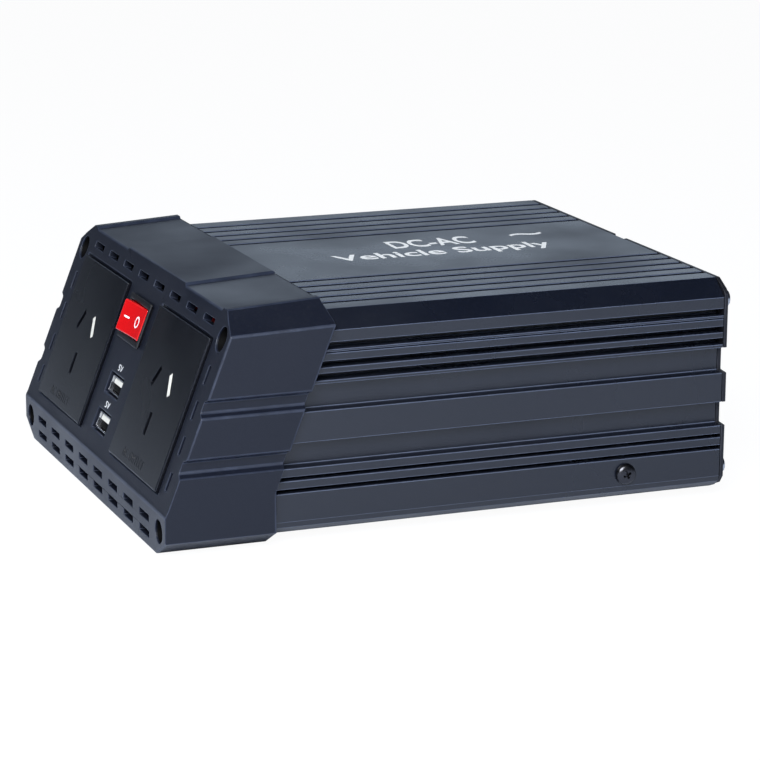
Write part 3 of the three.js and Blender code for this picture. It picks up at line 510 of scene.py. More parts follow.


# %% [markdown]
# The two extrusions follow one rule: a section, pushed through a die, the same all along its length.
# So a Geometry Nodes tree makes them. Its start is the section's outline, read from the imported node's
# front end. The tree rounds each corner of the outline, fills it, pushes it back by the length, and
# gives both ends a face. Rounding the outline is better than bevelling the solid, because the fins
# come out with the same small radius everywhere and the bright lines along them run unbroken. Those
# rounds are marked as edges, and their paler colour adds a painted highlight to the lines.

# %% Geometry Nodes helpers
def shape_tree(name, **takes):
    """A geometry tree with named inputs, each given with its kind of socket. Returns the tree, its input
    sockets by name, and its end."""
    tree = bpy.data.node_groups.new(name, "GeometryNodeTree")
    tree.interface.new_socket("Geometry", in_out="INPUT", socket_type="NodeSocketGeometry")
    tree.interface.new_socket("Geometry", in_out="OUTPUT", socket_type="NodeSocketGeometry")
    for label, kind in takes.items():
        tree.interface.new_socket(label, in_out="INPUT", socket_type="NodeSocket" + kind)
    start, end = tree.nodes.new("NodeGroupInput"), tree.nodes.new("NodeGroupOutput")
    return tree, {socket.name: socket for socket in start.outputs}, end


def carried(tree, label, kind="FLOAT"):
    """What each point carries under a name."""
    return new_node(tree, "GeometryNodeInputNamedAttribute", {"Name": label}, data_type=kind).outputs[0]


def end_tree(tree, geometry, material, end):
    """Every tree ends the same way: real geometry, then its material."""
    real = new_node(tree, "GeometryNodeRealizeInstances", {0: geometry})
    coloured = new_node(tree, "GeometryNodeSetMaterial", {"Geometry": real.outputs[0], "Material": material})
    tree.links.new(coloured.outputs[0], end.inputs[0])


def grown(name, tree, values, start):
    """Runs a geometry tree on a start mesh with its inputs set, and keeps the plain mesh it makes."""
    piece = shown(name, start)
    work = piece.modifiers.new("tree", "NODES")
    work.node_group = tree
    for item in tree.interface.items_tree:
        if item.item_type == "SOCKET" and item.in_out == "INPUT" and item.name in values:
            work[item.identifier] = values[item.name]
    piece.update_tag()
    return settled(piece)


def point_mesh(name, places, **values):
    """Loose points, with a vector or number at each as a named attribute."""
    mesh = bpy.data.meshes.new(name)
    mesh.from_pydata([tuple(place) for place in places], [], [])
    for label, items in values.items():
        is_vector = hasattr(items[0], "__len__")
        layer = mesh.attributes.new(label, "FLOAT_VECTOR" if is_vector else "FLOAT", "POINT")
        flat = [v for item in items for v in item] if is_vector else list(items)
        layer.data.foreach_set("vector" if is_vector else "value", flat)
    return mesh


def extrusion_tree():
    tree, ins, end = shape_tree("pushed_section", Corner="Float", Length="Float", Start="Float",
                                Material="Material")
    line = new_node(tree, "GeometryNodeMeshToCurve", {0: ins["Geometry"]})
    soft = new_node(tree, "GeometryNodeFilletCurve", {"Curve": line.outputs[0], "Radius": ins["Corner"],
                    "Count": 2, "Limit Radius": True}, mode="POLY")
    front = new_node(tree, "GeometryNodeFillCurve", {0: soft.outputs[0]}, mode="NGONS")
    push = new_node(tree, "ShaderNodeCombineXYZ", {2: maths(tree, "MULTIPLY", ins["Length"], -1.0)})
    long_part = new_node(tree, "GeometryNodeExtrudeMesh", {"Mesh": front.outputs[0],
                         "Offset": push.outputs[0], "Individual": False}, mode="FACES")
    outward = new_node(tree, "GeometryNodeFlipFaces", {0: long_part.outputs[0]})
    both = new_node(tree, "GeometryNodeJoinGeometry")
    tree.links.new(front.outputs[0], both.inputs[0])
    tree.links.new(outward.outputs[0], both.inputs[0])
    closed = new_node(tree, "GeometryNodeMergeByDistance", {"Geometry": both.outputs[0], "Distance": 1e-6})
    move = new_node(tree, "ShaderNodeCombineXYZ", {1: ins["Start"]})
    stood = new_node(tree, "GeometryNodeTransform", {"Geometry": closed.outputs[0],
                     "Translation": move.outputs[0], "Rotation": (math.pi / 2, 0, 0)})
    end_tree(tree, stood.outputs[0], ins["Material"], end)
    return tree


def section_outline(node):
    """The outline of a node's front end as a ring of edges, laid flat: X stays, Z becomes Y."""
    work = whole_faces(nodes[node].data)
    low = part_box(node)[0].y
    rim = [line for line in work.edges if all(abs(v.co.y - low) < JOIN for v in line.verts)
           and any(abs(v.co.y - low) > 0.1 * MM for face in line.link_faces for v in face.verts)]
    links = {}
    for line in rim:
        first, second = line.verts
        links.setdefault(first, []).append(second)
        links.setdefault(second, []).append(first)
    rings, seen = [], set()
    for corner in links:
        if corner in seen:
            continue
        ring, last, here = [], None, corner
        while here not in seen:
            seen.add(here)
            ring.append(here.co.copy())
            last, here = here, next((v for v in links[here] if v is not last and v not in seen), here)
        rings.append(ring)
    ring = max(rings, key=len)
    mesh = bpy.data.meshes.new(node + "_section")
    count = len(ring)
    mesh.from_pydata([(p.x, p.z, 0) for p in ring], [(i, (i + 1) % count) for i in range(count)], [])
    work.free()
    return mesh


# %% The two extrusions
FIN_CORNER = 0.25 * MM
PUSHED = extrusion_tree()


def extrusion(node):
    low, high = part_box(node)
    length = high.y - low.y
    piece = grown(node + "_extrusion", PUSHED, {"Corner": FIN_CORNER, "Length": length, "Start": low.y,
                  "Material": FINISH["anodised"]}, section_outline(node))
    # The fin rounds are marked for the paler edge colour: a painted highlight on top of wear.
    mark_edges(piece.data, lambda face: abs(face.normal.y) < 0.5 and face.area / length < FIN_CORNER)
    smooth_by_angle(piece.data, 60)
    dressed(levelled(piece), "anodised", "case", (node,))
    print(piece.name, len(piece.data.polygons), "faces, box", [round(v / MM, 1) for v in piece.dimensions])


extrusion("upper_case")
extrusion("lower_case")

# %% [markdown]
# The cap, the outlets, the switch and the other moulded or pressed parts are right as the CAD has
# them, so each is a softened copy. The cap's long outer edges get the largest radius, as on the real
# moulding, and the vents and slots stay crisp.

# %% Moulded and pressed parts
softened("front_cap", "cap_plastic", long_round=0.6, short_round=0.22, steps=3)
softened("rear_plate", "black_steel", long_round=0.3, short_round=0.15)
for side in ("left", "right"):
    softened("outlet_" + side, "outlet_plastic", long_round=0.45, short_round=0.15)
    softened("foot_" + side, "rubber", short_round=0.3)
softened("switch_frame", "black_plastic", long_round=0.4)
softened("switch_rocker", "rocker_red", "rocker", short_round=0.5, sharp=20)
for level in ("upper", "lower"):
    softened("usb_shell_" + level, "bright_steel", long_round=0.2, short_round=0.12)
    softened("usb_tongue_" + level, "white_plastic", long_round=0.2, short_round=0.15)

# %% [markdown]
# The case needs fifteen screws of one pattern: a pan head with a cross recess. One head is turned in
# mesh code, then a tree puts it at every place. Each place carries the direction that the head faces,
# its size and its own twist, because no two screws in a real case stop at the same angle.

# %% A turned shape, and one screw
def turned(name, profile, turns=32, unit=MM):
    """Spins a profile of (radius, height) pairs round the Z axis and closes it."""
    work = bmesh.new()
    rings = []
    step = 2 * math.pi / turns
    for radius, height in profile:
        rings.append([work.verts.new(Vector((radius * math.cos(step * i), radius * math.sin(step * i),
                                             height)) * unit) for i in range(turns if radius > 1e-4 else 1)])
    for lower, upper in zip(rings, rings[1:]):
        for i in range(turns):
            corners = [lower[i % len(lower)], lower[(i + 1) % len(lower)], upper[(i + 1) % len(upper)],
                       upper[i % len(upper)]]
            corners = list(dict.fromkeys(corners))
            if len(corners) > 2:
                work.faces.new(corners)
    bmesh.ops.remove_doubles(work, verts=work.verts, dist=1e-7)
    bmesh.ops.recalc_face_normals(work, faces=work.faces)
    return kept(name, work)


def one_screw():
    """A screw one unit in head radius, its seat at zero, head upwards."""
    shank = 0.48
    profile = [(0, -3.2), (shank * 0.6, -3.2), (shank, -2.8), (shank, 0), (0.96, 0), (1, 0.05), (0.98, 0.22),
               (0.88, 0.38), (0.68, 0.48), (0.35, 0.53), (0, 0.54)]
    piece = shown("screw_pattern", turned("screw_pattern", profile, 28, unit=1))
    cutters = []
    for turn in (0, math.pi / 2):
        work = bmesh.new()
        bmesh.ops.create_cube(work, size=1)
        for corner in work.verts:
            narrow = 0.55 if corner.co.z < 0 else 1.0
            corner.co = Vector((corner.co.x * 1.12 * narrow, corner.co.y * 0.25, corner.co.z * 0.9 + 0.63))
        bmesh.ops.rotate(work, verts=work.verts, matrix=Matrix.Rotation(turn, 3, "Z"))
        cutters.append(shown("recess", kept("recess", work)))
        cut = piece.modifiers.new("recess", "BOOLEAN")
        cut.object = cutters[-1]
        cut.operation = "DIFFERENCE"
        cut.solver = "EXACT"
    settled(piece)
    for cutter in cutters:
        bpy.data.objects.remove(cutter)
    smooth_by_angle(piece.data)
    return piece


def screw_tree():
    tree, ins, end = shape_tree("screws_at_places", Screw="Object", Material="Material")
    shape = new_node(tree, "GeometryNodeObjectInfo", {"Object": ins["Screw"]})
    aim = new_node(tree, "FunctionNodeAlignRotationToVector",
                   {"Vector": carried(tree, "facing", "FLOAT_VECTOR")}, axis="Z")
    spin = new_node(tree, "FunctionNodeAxisAngleToRotation",
                    {"Axis": (0, 0, 1), "Angle": carried(tree, "twist")})
    turn = new_node(tree, "FunctionNodeRotateRotation", {0: aim.outputs[0], 1: spin.outputs[0]},
                    rotation_space="LOCAL")
    size = carried(tree, "size")
    scale = new_node(tree, "ShaderNodeCombineXYZ", {0: size, 1: size, 2: size})
    placed = new_node(tree, "GeometryNodeInstanceOnPoints", {"Points": ins["Geometry"],
                      "Instance": shape.outputs["Geometry"], "Rotation": turn.outputs[0],
                      "Scale": scale.outputs[0]})
    end_tree(tree, placed.outputs[0], ins["Material"], end)
    return tree


# %% All the screws
HEAD_RISE = 0.62  # height of a CAD screw head over its radius
SCREW = one_screw()
SCREWS_AT = screw_tree()


def screw_group(name, look, members):
    """Places screws on their CAD nodes: each member is a node's name and the way its head faces."""
    places, facings, sizes, twists = [], [], [], []
    for index, (node, facing) in enumerate(members):
        low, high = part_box(node)
        size = max(high[i] - low[i] for i in range(3) if not facing[i]) / 2
        axis = next(i for i in range(3) if facing[i])
        seat = middle(node)
        seat[axis] = (high if facing[axis] > 0 else low)[axis] - facing[axis] * size * HEAD_RISE
        places.append(seat)
        facings.append(facing)
        sizes.append(size)
        twists.append(0.35 + 1.9 * index)
    start = point_mesh(name, places, facing=facings, size=sizes, twist=twists)
    piece = grown(name, SCREWS_AT, {"Screw": SCREW, "Material": FINISH[look]}, start)
    smooth_by_angle(piece.data)
    dressed(piece, look, "case", [node for node, _ in members])
    print(name, len(members), "screws,", len(piece.data.polygons), "faces")


CORNERS = ("upper_left", "upper_right", "lower_left", "lower_right")
FORWARD, BACK, LEFT, RIGHT = (0, -1, 0), (0, 1, 0), (-1, 0, 0), (1, 0, 0)
screw_group("front_and_side_screws", "dark_steel", [("cap_screw_" + corner, FORWARD) for corner in CORNERS]
            + [("side_screw_left", LEFT), ("side_screw_right", RIGHT)])
screw_group("fan_screws", "dark_steel", [("fan_screw_" + corner, BACK) for corner in CORNERS])
screw_group("rear_screws", "bright_steel", [("rear_screw_" + corner, BACK) for corner in CORNERS]
            + [("earth_screw", BACK)])
bpy.data.objects.remove(SCREW)

# %% [markdown]
# The print is white ink on the middle of the case, and a small mark over each USB port. Ink has a
# thickness that can just be seen at its edges, so each mark is lettering made into a mesh 0.03 mm
# thick. The words are plain trade words for what the parts do. Lettering is drawn flat, made a mesh,
# and only then moved to its place, so its object stays at the origin.

# %% Lettering
PANEL_LEAN = math.atan(0.39)  # the front runs back 0.39 for each unit it rises
PANEL_FOOT = Vector((0, FRONT + 0.8, 15.2)) * MM
PANEL_ACROSS = Vector((1, 0, 0))
PANEL_UP = Vector((0, math.sin(PANEL_LEAN), math.cos(PANEL_LEAN)))
PANEL_OUT = PANEL_ACROSS.cross(PANEL_UP)


def on_panel(across, up, out=0.0):
    """A point on the sloping front, in millimetres across, up the slope and out of it."""
    return PANEL_FOOT + (PANEL_ACROSS * across + PANEL_UP * up + PANEL_OUT * out) * MM


def axes_matrix(right, up, place):
    """Takes a flat drawing to a place on a face, with its X and Y along right and up."""
    out = right.cross(up)
    turn = Matrix((right, up, out)).transposed().to_4x4()
    return Matrix.Translation(place) @ turn


def lettering(name, words, width, height, place, right, up, thick=0.03, bold=0.0, spacing=1.0):
    """Letters of a given width and height in millimetres, centred on a place, lying on a face."""
    curve = bpy.data.curves.new(name, "FONT")
    curve.body = words
    curve.align_x, curve.align_y = "CENTER", "CENTER"
    curve.offset = bold
    curve.space_character = spacing
    curve.resolution_u = 4
    curve.extrude = 0.5
    drawn = shown(name + "_drawn", curve)
    graph = bpy.context.evaluated_depsgraph_get()
    mesh = bpy.data.meshes.new_from_object(drawn.evaluated_get(graph))
    bpy.data.objects.remove(drawn)
    xs = [v.co.x for v in mesh.vertices]
    ys = [v.co.y for v in mesh.vertices]
    centre = Vector(((min(xs) + max(xs)) / 2, (min(ys) + max(ys)) / 2, 0))
    wide, tall = max(xs) - min(xs), max(ys) - min(ys)
    fit = Matrix.Diagonal((width * MM / wide, height * MM / tall, thick * MM, 1))
    mesh.transform(axes_matrix(right, up, place) @ fit @ Matrix.Translation(-centre))
    work = bmesh.new()
    work.from_mesh(mesh)
    bmesh.ops.remove_doubles(work, verts=work.verts, dist=1e-7)
    return shown(name, kept(name, work))


def inked(name, *drawing, body="case", **finer):
    """White lettering; what it is given is what lettering is given, and a body."""
    piece = dressed(lettering(name, *drawing, **finer), "white_ink", body)
    print(name, len(piece.data.polygons), "faces")


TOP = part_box("upper_case")[1].z
PRINT = (("print_currents", "DC-AC", 30, 12, -12.5, 124, 0.018),
         ("print_purpose", "Vehicle Supply", 77, 12, 4, 122.5, 0.015),
         ("print_wave", "~", 12, 3.6, -14.5, 160, 0))
for name, words, width, height, across, along, bold in PRINT:
    place = Vector((across * MM, (FRONT + along) * MM, TOP))
    inked(name, words, width, height, place, Vector(BACK), Vector(LEFT), bold=bold)
PORTS = (("upper", 21.4, 27.4), ("lower", 8.8, 14.7))  # how far up the slope each port and its mark are
for level, _, up in PORTS:
    inked("usb_mark_" + level, "5V", 4.4, 2.1, on_panel(0.5, up, 0.02), PANEL_ACROSS, PANEL_UP)

# %% [markdown]
# The rocker carries a bar for on and a ring for off. Its face is not flat, so each sign is laid where
# a line into the front meets the rocker, square to the face there. The outlets have a moulded word
# near the foot, in their own plastic, and a white shutter just inside each right-hand slot. The shade
# inside each USB port and deep screw hole is painted: a near-black lining stands where only shade falls.

# %% Signs, moulded words and shutters
def face_under(node, across, up):
    """Where a line into the sloping front meets a node, and which way its face looks there."""
    mesh = nodes[node].data
    faces = BVHTree.FromPolygons([v.co for v in mesh.vertices], [face.vertices for face in mesh.polygons])
    place, normal, _, _ = faces.ray_cast(on_panel(across, up, 20), -PANEL_OUT)
    return place, normal


SWITCH_UP, OUTLET_ACROSS, OUTLET_UP = 43.7, 43, 29.3  # their middles, in millimetres on the slope
PIN_ACROSS, PIN_UP, PIN_LEAN = 6.86, 3.96, math.radians(30)  # a flat pin, from its outlet's middle
for name, sign, size, across in (("sign_on", "-", (4.6, 0.6), -3.9), ("sign_off", "O", (2.9, 3.9), 4.1)):
    place, normal = face_under("switch_rocker", across, SWITCH_UP)
    inked(name, sign, *size, place + normal * 0.01 * MM, PANEL_UP.cross(normal), PANEL_UP, body="rocker")


def front_block(name, look, size, place, lean=0.0):
    """A small block with soft edges, set square to the sloping front and turned in its plane."""
    work = bmesh.new()
    bmesh.ops.create_cube(work, size=1)
    for corner in work.verts:
        wide, tall, deep = (corner.co[i] * size[i] for i in range(3))
        corner.co = on_panel(place[0] + wide * math.cos(lean) - tall * math.sin(lean),
                             place[1] + wide * math.sin(lean) + tall * math.cos(lean), place[2] + deep)
    bmesh.ops.bevel(work, geom=work.edges, offset=0.1 * MM, segments=2, affect="EDGES")
    dressed(shown(name, kept(name, work)), look)


for side, where in ((-1, "left"), (1, "right")):
    front_block("shutter_" + where, "white_plastic", (2.1, 7.3, 0.8),
                (side * OUTLET_ACROSS + PIN_ACROSS, OUTLET_UP + PIN_UP, 0.57), PIN_LEAN)
    word = lettering("outlet_word_" + where, "AC OUTLET", 21, 3, on_panel(side * OUTLET_ACROSS - 2, 6.8, 1.0),
                     PANEL_ACROSS, PANEL_UP, thick=0.16, bold=-0.012, spacing=1.2)
    dressed(word, "outlet_plastic")
# Each USB port's throat is a black block of painted shade.
for level, up, _ in PORTS:
    front_block("usb_throat_" + level, "painted_shade_black", (11.9, 2.2, 9.6), (0, up - 1.12, -7.2))


def screw_wells(bore=3.45, outside=3.7, mouth=0.7, foot=26.4):
    """A near-black sleeve of painted shade in each of the cap's four deep screw holes. Its mouth is cut to
    the slope of the front, and its foot is where the screw's head lands."""
    sleeves = []
    for corner in CORNERS:
        centre = middle("cap_screw_" + corner)
        profile = [(bore, 0), (outside, 0), (outside, 1), (bore, 1), (bore, 0)]
        sleeve = turned("sleeve", profile, 40)
        for point in sleeve.vertices:
            x, z = centre.x + point.co.x, centre.z + point.co.y
            up_slope = max(0.0, z - PANEL_FOOT.z)
            face = PANEL_FOOT.y + up_slope * math.tan(PANEL_LEAN) if up_slope else cad_low.y
            is_foot = point.co.z > 0.5 * MM
            point.co = Vector((x, (FRONT + foot) * MM if is_foot else face + mouth * MM, z))
        sleeves.append(sleeve)
    mesh = joined("screw_wells", sleeves, outward=True)
    smooth_by_angle(mesh, 40)
    dressed(shown("screw_wells", mesh), "painted_shade_black")


screw_wells()
print("signs, shutters, moulded words, port throats and screw wells")

# %% [markdown]
# The fan guard, the choke and the transformer are all wire. One tree serves the three: it takes points,
# lays a loop at each, sized and turned by what the point carries, and sweeps a round wire along it. A
# loop is either a circle or a square with rounded corners. Scaling the loop before the sweep keeps the
# wire round and of one thickness.

# %% Wire loops
def wire_tree():
    tree, ins, end = shape_tree("wire_loops", Round="Bool", Wire="Float", Material="Material")
    circle = new_node(tree, "GeometryNodeCurvePrimitiveCircle", {"Resolution": 64, "Radius": 1.0})
    box = new_node(tree, "GeometryNodeCurvePrimitiveQuadrilateral", {"Width": 2.0, "Height": 2.0})
    cornered = new_node(tree, "GeometryNodeFilletCurve", {"Curve": box.outputs[0], "Radius": 0.35,
                        "Count": 5, "Limit Radius": True}, mode="POLY")
    loop = new_node(tree, "GeometryNodeSwitch", {"Switch": ins["Round"], "False": cornered.outputs[0],
                    "True": circle.outputs[0]}, input_type="GEOMETRY")
    way = new_node(tree, "FunctionNodeEulerToRotation", {0: carried(tree, "turn", "FLOAT_VECTOR")})
    placed = new_node(tree, "GeometryNodeInstanceOnPoints", {"Points": ins["Geometry"],
                      "Instance": loop.outputs[0], "Rotation": way.outputs[0],
                      "Scale": carried(tree, "size", "FLOAT_VECTOR")})
    lines = new_node(tree, "GeometryNodeRealizeInstances", {0: placed.outputs[0]})
    section = new_node(tree, "GeometryNodeCurvePrimitiveCircle", {"Resolution": 8, "Radius": ins["Wire"]})
    wire = new_node(tree, "GeometryNodeCurveToMesh",
                    {"Curve": lines.outputs[0], "Profile Curve": section.outputs[0]})
    end_tree(tree, wire.outputs[0], ins["Material"], end)
    return tree


WIRES = wire_tree()


def facing_out(mesh):
    """Flips a closed mesh that was made inside out."""
    work = bmesh.new()
    work.from_mesh(mesh)
    if work.calc_volume(signed=True) < 0:
        bmesh.ops.reverse_faces(work, faces=work.faces)
        work.to_mesh(mesh)
    work.free()


def wire_loops(name, loops, wire, look, is_round, node):
    """Loops of wire in place of a node. Each is a place in metres, its half width and half height in
    millimetres, and its turn in radians."""
    places, sizes, turns = zip(*loops)
    start = point_mesh(name, places, size=[(a * MM, b * MM, 1) for a, b in sizes], turn=turns)
    piece = grown(name, WIRES, {"Round": is_round, "Wire": wire * MM, "Material": FINISH[look]}, start)
    facing_out(piece.data)
    piece.data.shade_smooth()
    dressed(piece, look, "case", (node,))
    print(name, len(loops), "loops,", len(piece.data.polygons), "faces")


# %% [markdown]
# Knobs, studs, washers, the fan's hub and the capacitors are all round an axis. Each is a profile given
# by its corners only. The corners are cut to small curves before the profile is spun, which is lighter
# than a bevel on the spun shape and leaves its closed ends alone.

# %% Turned parts with soft corners
def rounded(profile, reach, steps=3):
    """A profile with each of its corners cut to a small curve."""
    points = [Vector(point) for point in profile]
    soft = [points[0]]
    for before, here, after in zip(points, points[1:], points[2:]):
        if (here - before).angle(after - here) < 0.2:
            soft.append(here)
            continue
        cut = min(reach, (before - here).length / 2.2, (after - here).length / 2.2)
        first = here + (before - here).normalized() * cut
        last = here + (after - here).normalized() * cut
        for i in range(steps + 1):
            t = i / steps
            soft.append(first.lerp(here, t).lerp(here.lerp(last, t), t))
    return soft + [points[-1]]


REARWARD = Matrix.Rotation(-math.pi / 2, 4, "X")
UPRIGHT = Matrix.Identity(4)


def turned_part(node, profile, look, body="case", aim=REARWARD, reach=0.25, turns=48, rule=None):
    """A turned part in place of a CAD node. Its profile, in millimetres, starts at the node's near end. A
    rule, if there is one, gives each point its radius from its radius, its angle and its height."""
    axis = 2 if aim is UPRIGHT else 1
    foot = middle(node)
    foot[axis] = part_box(node)[0][axis]
    mesh = turned(node + "_turned", rounded(profile, reach), turns)
    for corner in mesh.vertices:
        radius = math.hypot(corner.co.x, corner.co.y)
        if rule and radius > 1e-6:
            stretch = rule(radius / MM, math.atan2(corner.co.y, corner.co.x), corner.co.z / MM) * MM / radius
            corner.co.x, corner.co.y = corner.co.x * stretch, corner.co.y * stretch
    mesh.transform(Matrix.Translation(foot) @ aim)
    smooth_by_angle(mesh, 40)
    dressed(shown(node + "_turned", mesh), look, body, (node,))
    print(node + "_turned", len(mesh.polygons), "faces")


# %% [markdown]
# Each battery terminal is a stud through a plastic bush, with a washer and a fluted thumb nut. The
# flutes are a rule on the turned shape: the radius dips as the angle goes round. The stud is left
# plain, because only a few millimetres of it ever come out between the bush and the washer.

# %% Terminals
BORE, STUD, KNOB = 3.3, 3.0, 7.1  # three radii, in millimetres
FLUTES = 10


def fluted(radius, angle, height):
    """The nut's rule: ten hollows round its grip."""
    is_grip = radius > KNOB - 0.8 and 2.3 < height < 10.6
    return radius - 0.75 * max(0.0, math.cos(FLUTES * angle)) ** 2 if is_grip else radius


BUSH = [(BORE, 0), (5.2, 0), (5.2, 3.7), (9, 3.7), (9, 6.7), (8, 7.7), (BORE, 7.7), (BORE, 0)]
STUD_LINE = ([(0, 0), (6, 0), (6, 8), (STUD, 8)] + [(STUD, 8.4 + 0.25 * i) for i in range(68)]
             + [(STUD - 0.6, 26), (0, 26)])
WASHER = [(BORE, 0), (6.6, 0), (6.6, 1.2), (BORE, 1.2), (BORE, 0)]
NUT = [(0, 8.9), (BORE, 8.9), (BORE, 0), (7.5, 0), (7.5, 2), (KNOB, 2.4)]
NUT += [(KNOB, 2.6 + 0.5 * i) for i in range(15)] + [(KNOB, 10.1), (5.9, 11.5), (0, 11.5)]
for sign, look in (("negative", "black_plastic"), ("positive", "red_plastic")):
    turned_part(sign + "_bush", BUSH, look)
    turned_part(sign + "_stud", STUD_LINE, "brass", turns=36)
    turned_part(sign + "_washer", WASHER, "bright_steel", sign + "_clamp", reach=0.2)
    turned_part(sign + "_knob", NUT, look, sign + "_nut", turns=120, rule=fluted)

# %% [markdown]
# The fan has a moulded frame, a wire guard, and a rotor with seven swept blades. One blade is made, and
# a tree sets it round the hub. The guard's rings and its four eyelets are wire loops.

# %% Fan
FAN = middle("fan_guard")
FLAT_TO_REAR = (math.pi / 2, 0, 0)
GUARD_WIRE, EYE_REACH = 0.7, 20
ring_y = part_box("fan_guard")[1].y - 0.8 * MM
eye_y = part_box("fan_guard")[0].y + 0.75 * MM
EYE_LEVEL = Vector((FAN.x, eye_y, FAN.z))
loops = [(Vector((FAN.x, ring_y, FAN.z)), (radius, radius), FLAT_TO_REAR) for radius in (10, 15.2, 20.4)]
loops += [(EYE_LEVEL + Vector((a, 0, b)) * EYE_REACH * MM, (2.45, 2.45), FLAT_TO_REAR)
          for a in (-1, 1) for b in (-1, 1)]
wire_loops("guard_wires", loops, GUARD_WIRE, "bright_steel", True, "fan_guard")


def guard_legs():
    """Four rods from the guard's middle disc to its eyelets, and the disc."""
    pieces = [turned("disc", [(0, 0), (5.2, 0), (5.4, 0.3), (5.0, 1.3), (0, 1.4)], 40)]
    pieces[0].transform(Matrix.Translation(EYE_LEVEL) @ REARWARD)
    for i in range(4):
        rod = turned("rod", [(0, 4.5), (GUARD_WIRE, 4.5), (GUARD_WIRE, 26), (0, 26)], 10)
        rod.transform(Matrix.Translation(EYE_LEVEL) @ Matrix.Rotation(math.pi / 4 + i * math.pi / 2, 4, "Y"))
        pieces.append(rod)
    mesh = joined("guard_legs", pieces)
    smooth_by_angle(mesh, 40)
    dressed(shown("guard_legs", mesh), "bright_steel")


def one_blade(stations=10, around=12):
    """A swept, twisted blade about the Y axis. From the hub to the tip its pitch falls, its chord grows
    and its tip trails."""
    rings = []
    for i in range(stations + 1):
        t = i / stations
        radius, pitch, chord = 12 + 10.6 * t, math.radians(48 - 16 * t), 7.6 + 3.2 * t
        ring = []
        for k in range(around):
            turn = 2 * math.pi * k / around
            along, thick = 0.5 * chord * math.cos(turn), 0.5 * math.sin(turn) + 0.5 * math.sin(turn / 2) ** 2
            spread = along * math.cos(pitch) - thick * math.sin(pitch)
            deep = along * math.sin(pitch) + thick * math.cos(pitch)
            angle = spread / radius + 0.22 * t * t
            ring.append(Vector((radius * math.cos(angle), deep, radius * math.sin(angle))) * MM)
        rings.append(ring)
    work = bmesh.new()
    rows = [[work.verts.new(place) for place in ring] for ring in rings]
    for low_row, high_row in zip(rows, rows[1:]):
        for k in range(around):
            work.faces.new((low_row[k], low_row[(k + 1) % around], high_row[(k + 1) % around], high_row[k]))
    work.faces.new(rows[0][::-1])
    work.faces.new(rows[-1])
    bmesh.ops.recalc_face_normals(work, faces=work.faces)
    mesh = kept("blade", work)
    mesh.shade_smooth()
    return shown("blade", mesh)


def blade_tree():
    tree, ins, end = shape_tree("blades_round_hub", Blade="Object", Count="Int", Material="Material")
    shape = new_node(tree, "GeometryNodeObjectInfo", {"Object": ins["Blade"]})
    spots = new_node(tree, "GeometryNodeMeshLine", {"Count": ins["Count"], "Offset": (0, 0, 0)})
    order = new_node(tree, "GeometryNodeInputIndex")
    step = maths(tree, "DIVIDE", 2 * math.pi, ins["Count"])
    turn = new_node(tree, "ShaderNodeCombineXYZ", {1: maths(tree, "MULTIPLY", order.outputs[0], step)})
    way = new_node(tree, "FunctionNodeEulerToRotation", {0: turn.outputs[0]})
    placed = new_node(tree, "GeometryNodeInstanceOnPoints", {"Points": spots.outputs[0],
                      "Instance": shape.outputs["Geometry"], "Rotation": way.outputs[0]})
    end_tree(tree, placed.outputs[0], ins["Material"], end)
    return tree


guard_legs()
softened("fan_frame", "black_plastic", long_round=0.6)
HUB = [(0, 0), (11.6, 0), (12.5, 0.9), (12.5, 9.7), (11.6, 10.6), (9.4, 10.6), (9.2, 10.3), (0, 10.3)]
turned_part("fan_rotor", HUB, "black_plastic", "fan", turns=64)
BLADE = one_blade()
blades = grown("fan_blades", blade_tree(), {"Blade": BLADE, "Count": 7, "Material": FINISH["black_plastic"]},
               bpy.data.meshes.new("fan_blades"))
blades.data.transform(Matrix.Translation(middle("fan_rotor")))
smooth_by_angle(blades.data, 50)
dressed(blades, "black_plastic", "fan")
bpy.data.objects.remove(BLADE)
print("fan blades", len(blades.data.polygons), "faces")

# %% [markdown]
# Inside, the choke is a ferrite ring wound with thick wire, and the transformer's coil shows its turns
# in columns. The capacitors are cans with a crimped foot and a dished top. The brass clips, the boards,
# the core and the aluminium bars are softened copies.

# %% Parts inside the case
def can(node):
    """A capacitor's can: a rolled foot, a crimp above it and a dished top."""
    low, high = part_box(node)
    radius, height = (high.x - low.x) / 2 / MM, (high.z - low.z) / MM
    line = [(0, 0.4), (radius - 1, 0.4), (radius - 0.8, 0), (radius, 0.3), (radius, 1.6), (radius - 0.6, 2.4),
            (radius, 3.2), (radius, height - 0.5), (radius - 0.9, height), (radius - 1.8, height - 0.3),
            (0, height - 0.4)]
    turned_part(node, line, "black_plastic", aim=UPRIGHT)


for node in ("bus_capacitor", "input_capacitor_left", "input_capacitor_right"):
    can(node)

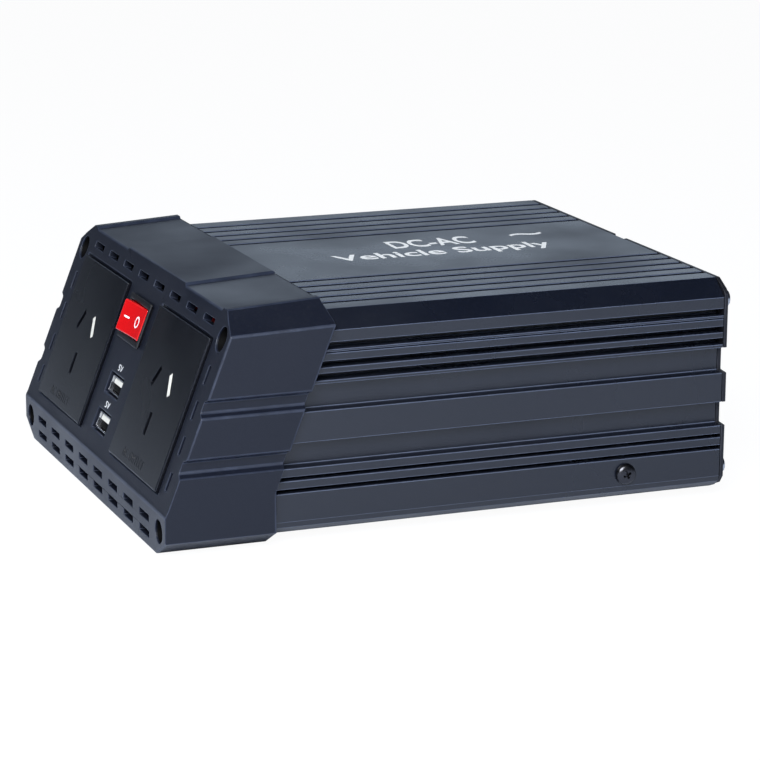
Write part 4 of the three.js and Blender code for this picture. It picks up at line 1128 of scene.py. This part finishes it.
CHOKE, CHOKE_TURNS, RING_MIDDLE = middle("choke_coil"), 26, 7.95
loops = []
for i in range(CHOKE_TURNS):
    swing = 2 * math.pi * i / CHOKE_TURNS
    arm = Vector((0, math.cos(swing), math.sin(swing))) * RING_MIDDLE * MM
    loops.append((CHOKE + arm, (4.4, 3.0), (swing, 0, 0)))
wire_loops("choke_turns", loops, 0.55, "copper_winding", False, "choke_coil")
RING = [(5.7, -3.7), (10.2, -3.7), (10.2, 3.7), (5.7, 3.7), (5.7, -3.7)]
ring = turned("choke_ring", rounded(RING, 0.8), 48)
ring.transform(Matrix.Translation(CHOKE) @ Matrix.Rotation(math.pi / 2, 4, "Y"))
smooth_by_angle(ring, 40)
dressed(shown("choke_ring", ring), "ferrite")

COIL, LAYERS = middle("transformer_winding"), 17
loops = []
for layer in range(LAYERS):
    height = Vector((0, 0, (layer - LAYERS // 2) * 1.25 * MM))
    for inset in range(5 if layer in (0, LAYERS - 1) else 1):
        loops.append((COIL + height, (14 - 1.35 * inset, 22.4 - 1.15 * inset), (0, 0, 0)))
wire_loops("transformer_turns", loops, 0.57, "copper_winding", False, "transformer_winding")

# A round CAD node needs no bevel: only its shading is made smooth.
lead = kept("switch_lead_smooth", whole_faces(nodes["switch_lead"].data, flat=0.1))
smooth_by_angle(lead, 60)
dressed(shown("switch_lead_smooth", lead), "red_plastic", "case", ("switch_lead",))

for node in ("main_board", "usb_board"):
    softened(node, "board", long_round=0.2, short_round=0.15)
softened("transformer_core", "ferrite", long_round=0.6, short_round=0.3)
for side in ("left", "right"):
    softened("heat_bar_" + side, "bare_aluminium", long_round=0.4)
    for pin in ("active", "neutral", "earth"):
        softened(f"{pin}_contact_{side}", "brass", long_round=0.12, short_round=0.12)

# %% [markdown]
# What is left keeps its CAD shape and gets its finish by its slot in the record.

# %% Remaining nodes, size and finish
SLOTS = {row["node"]: row["material_slot"] for row in frame["record"]["subparts"]}
for name, node in nodes.items():
    if not node.hide_render:
        node.data.materials.clear()
        node.data.materials.append(FINISH[SLOTS[name]])
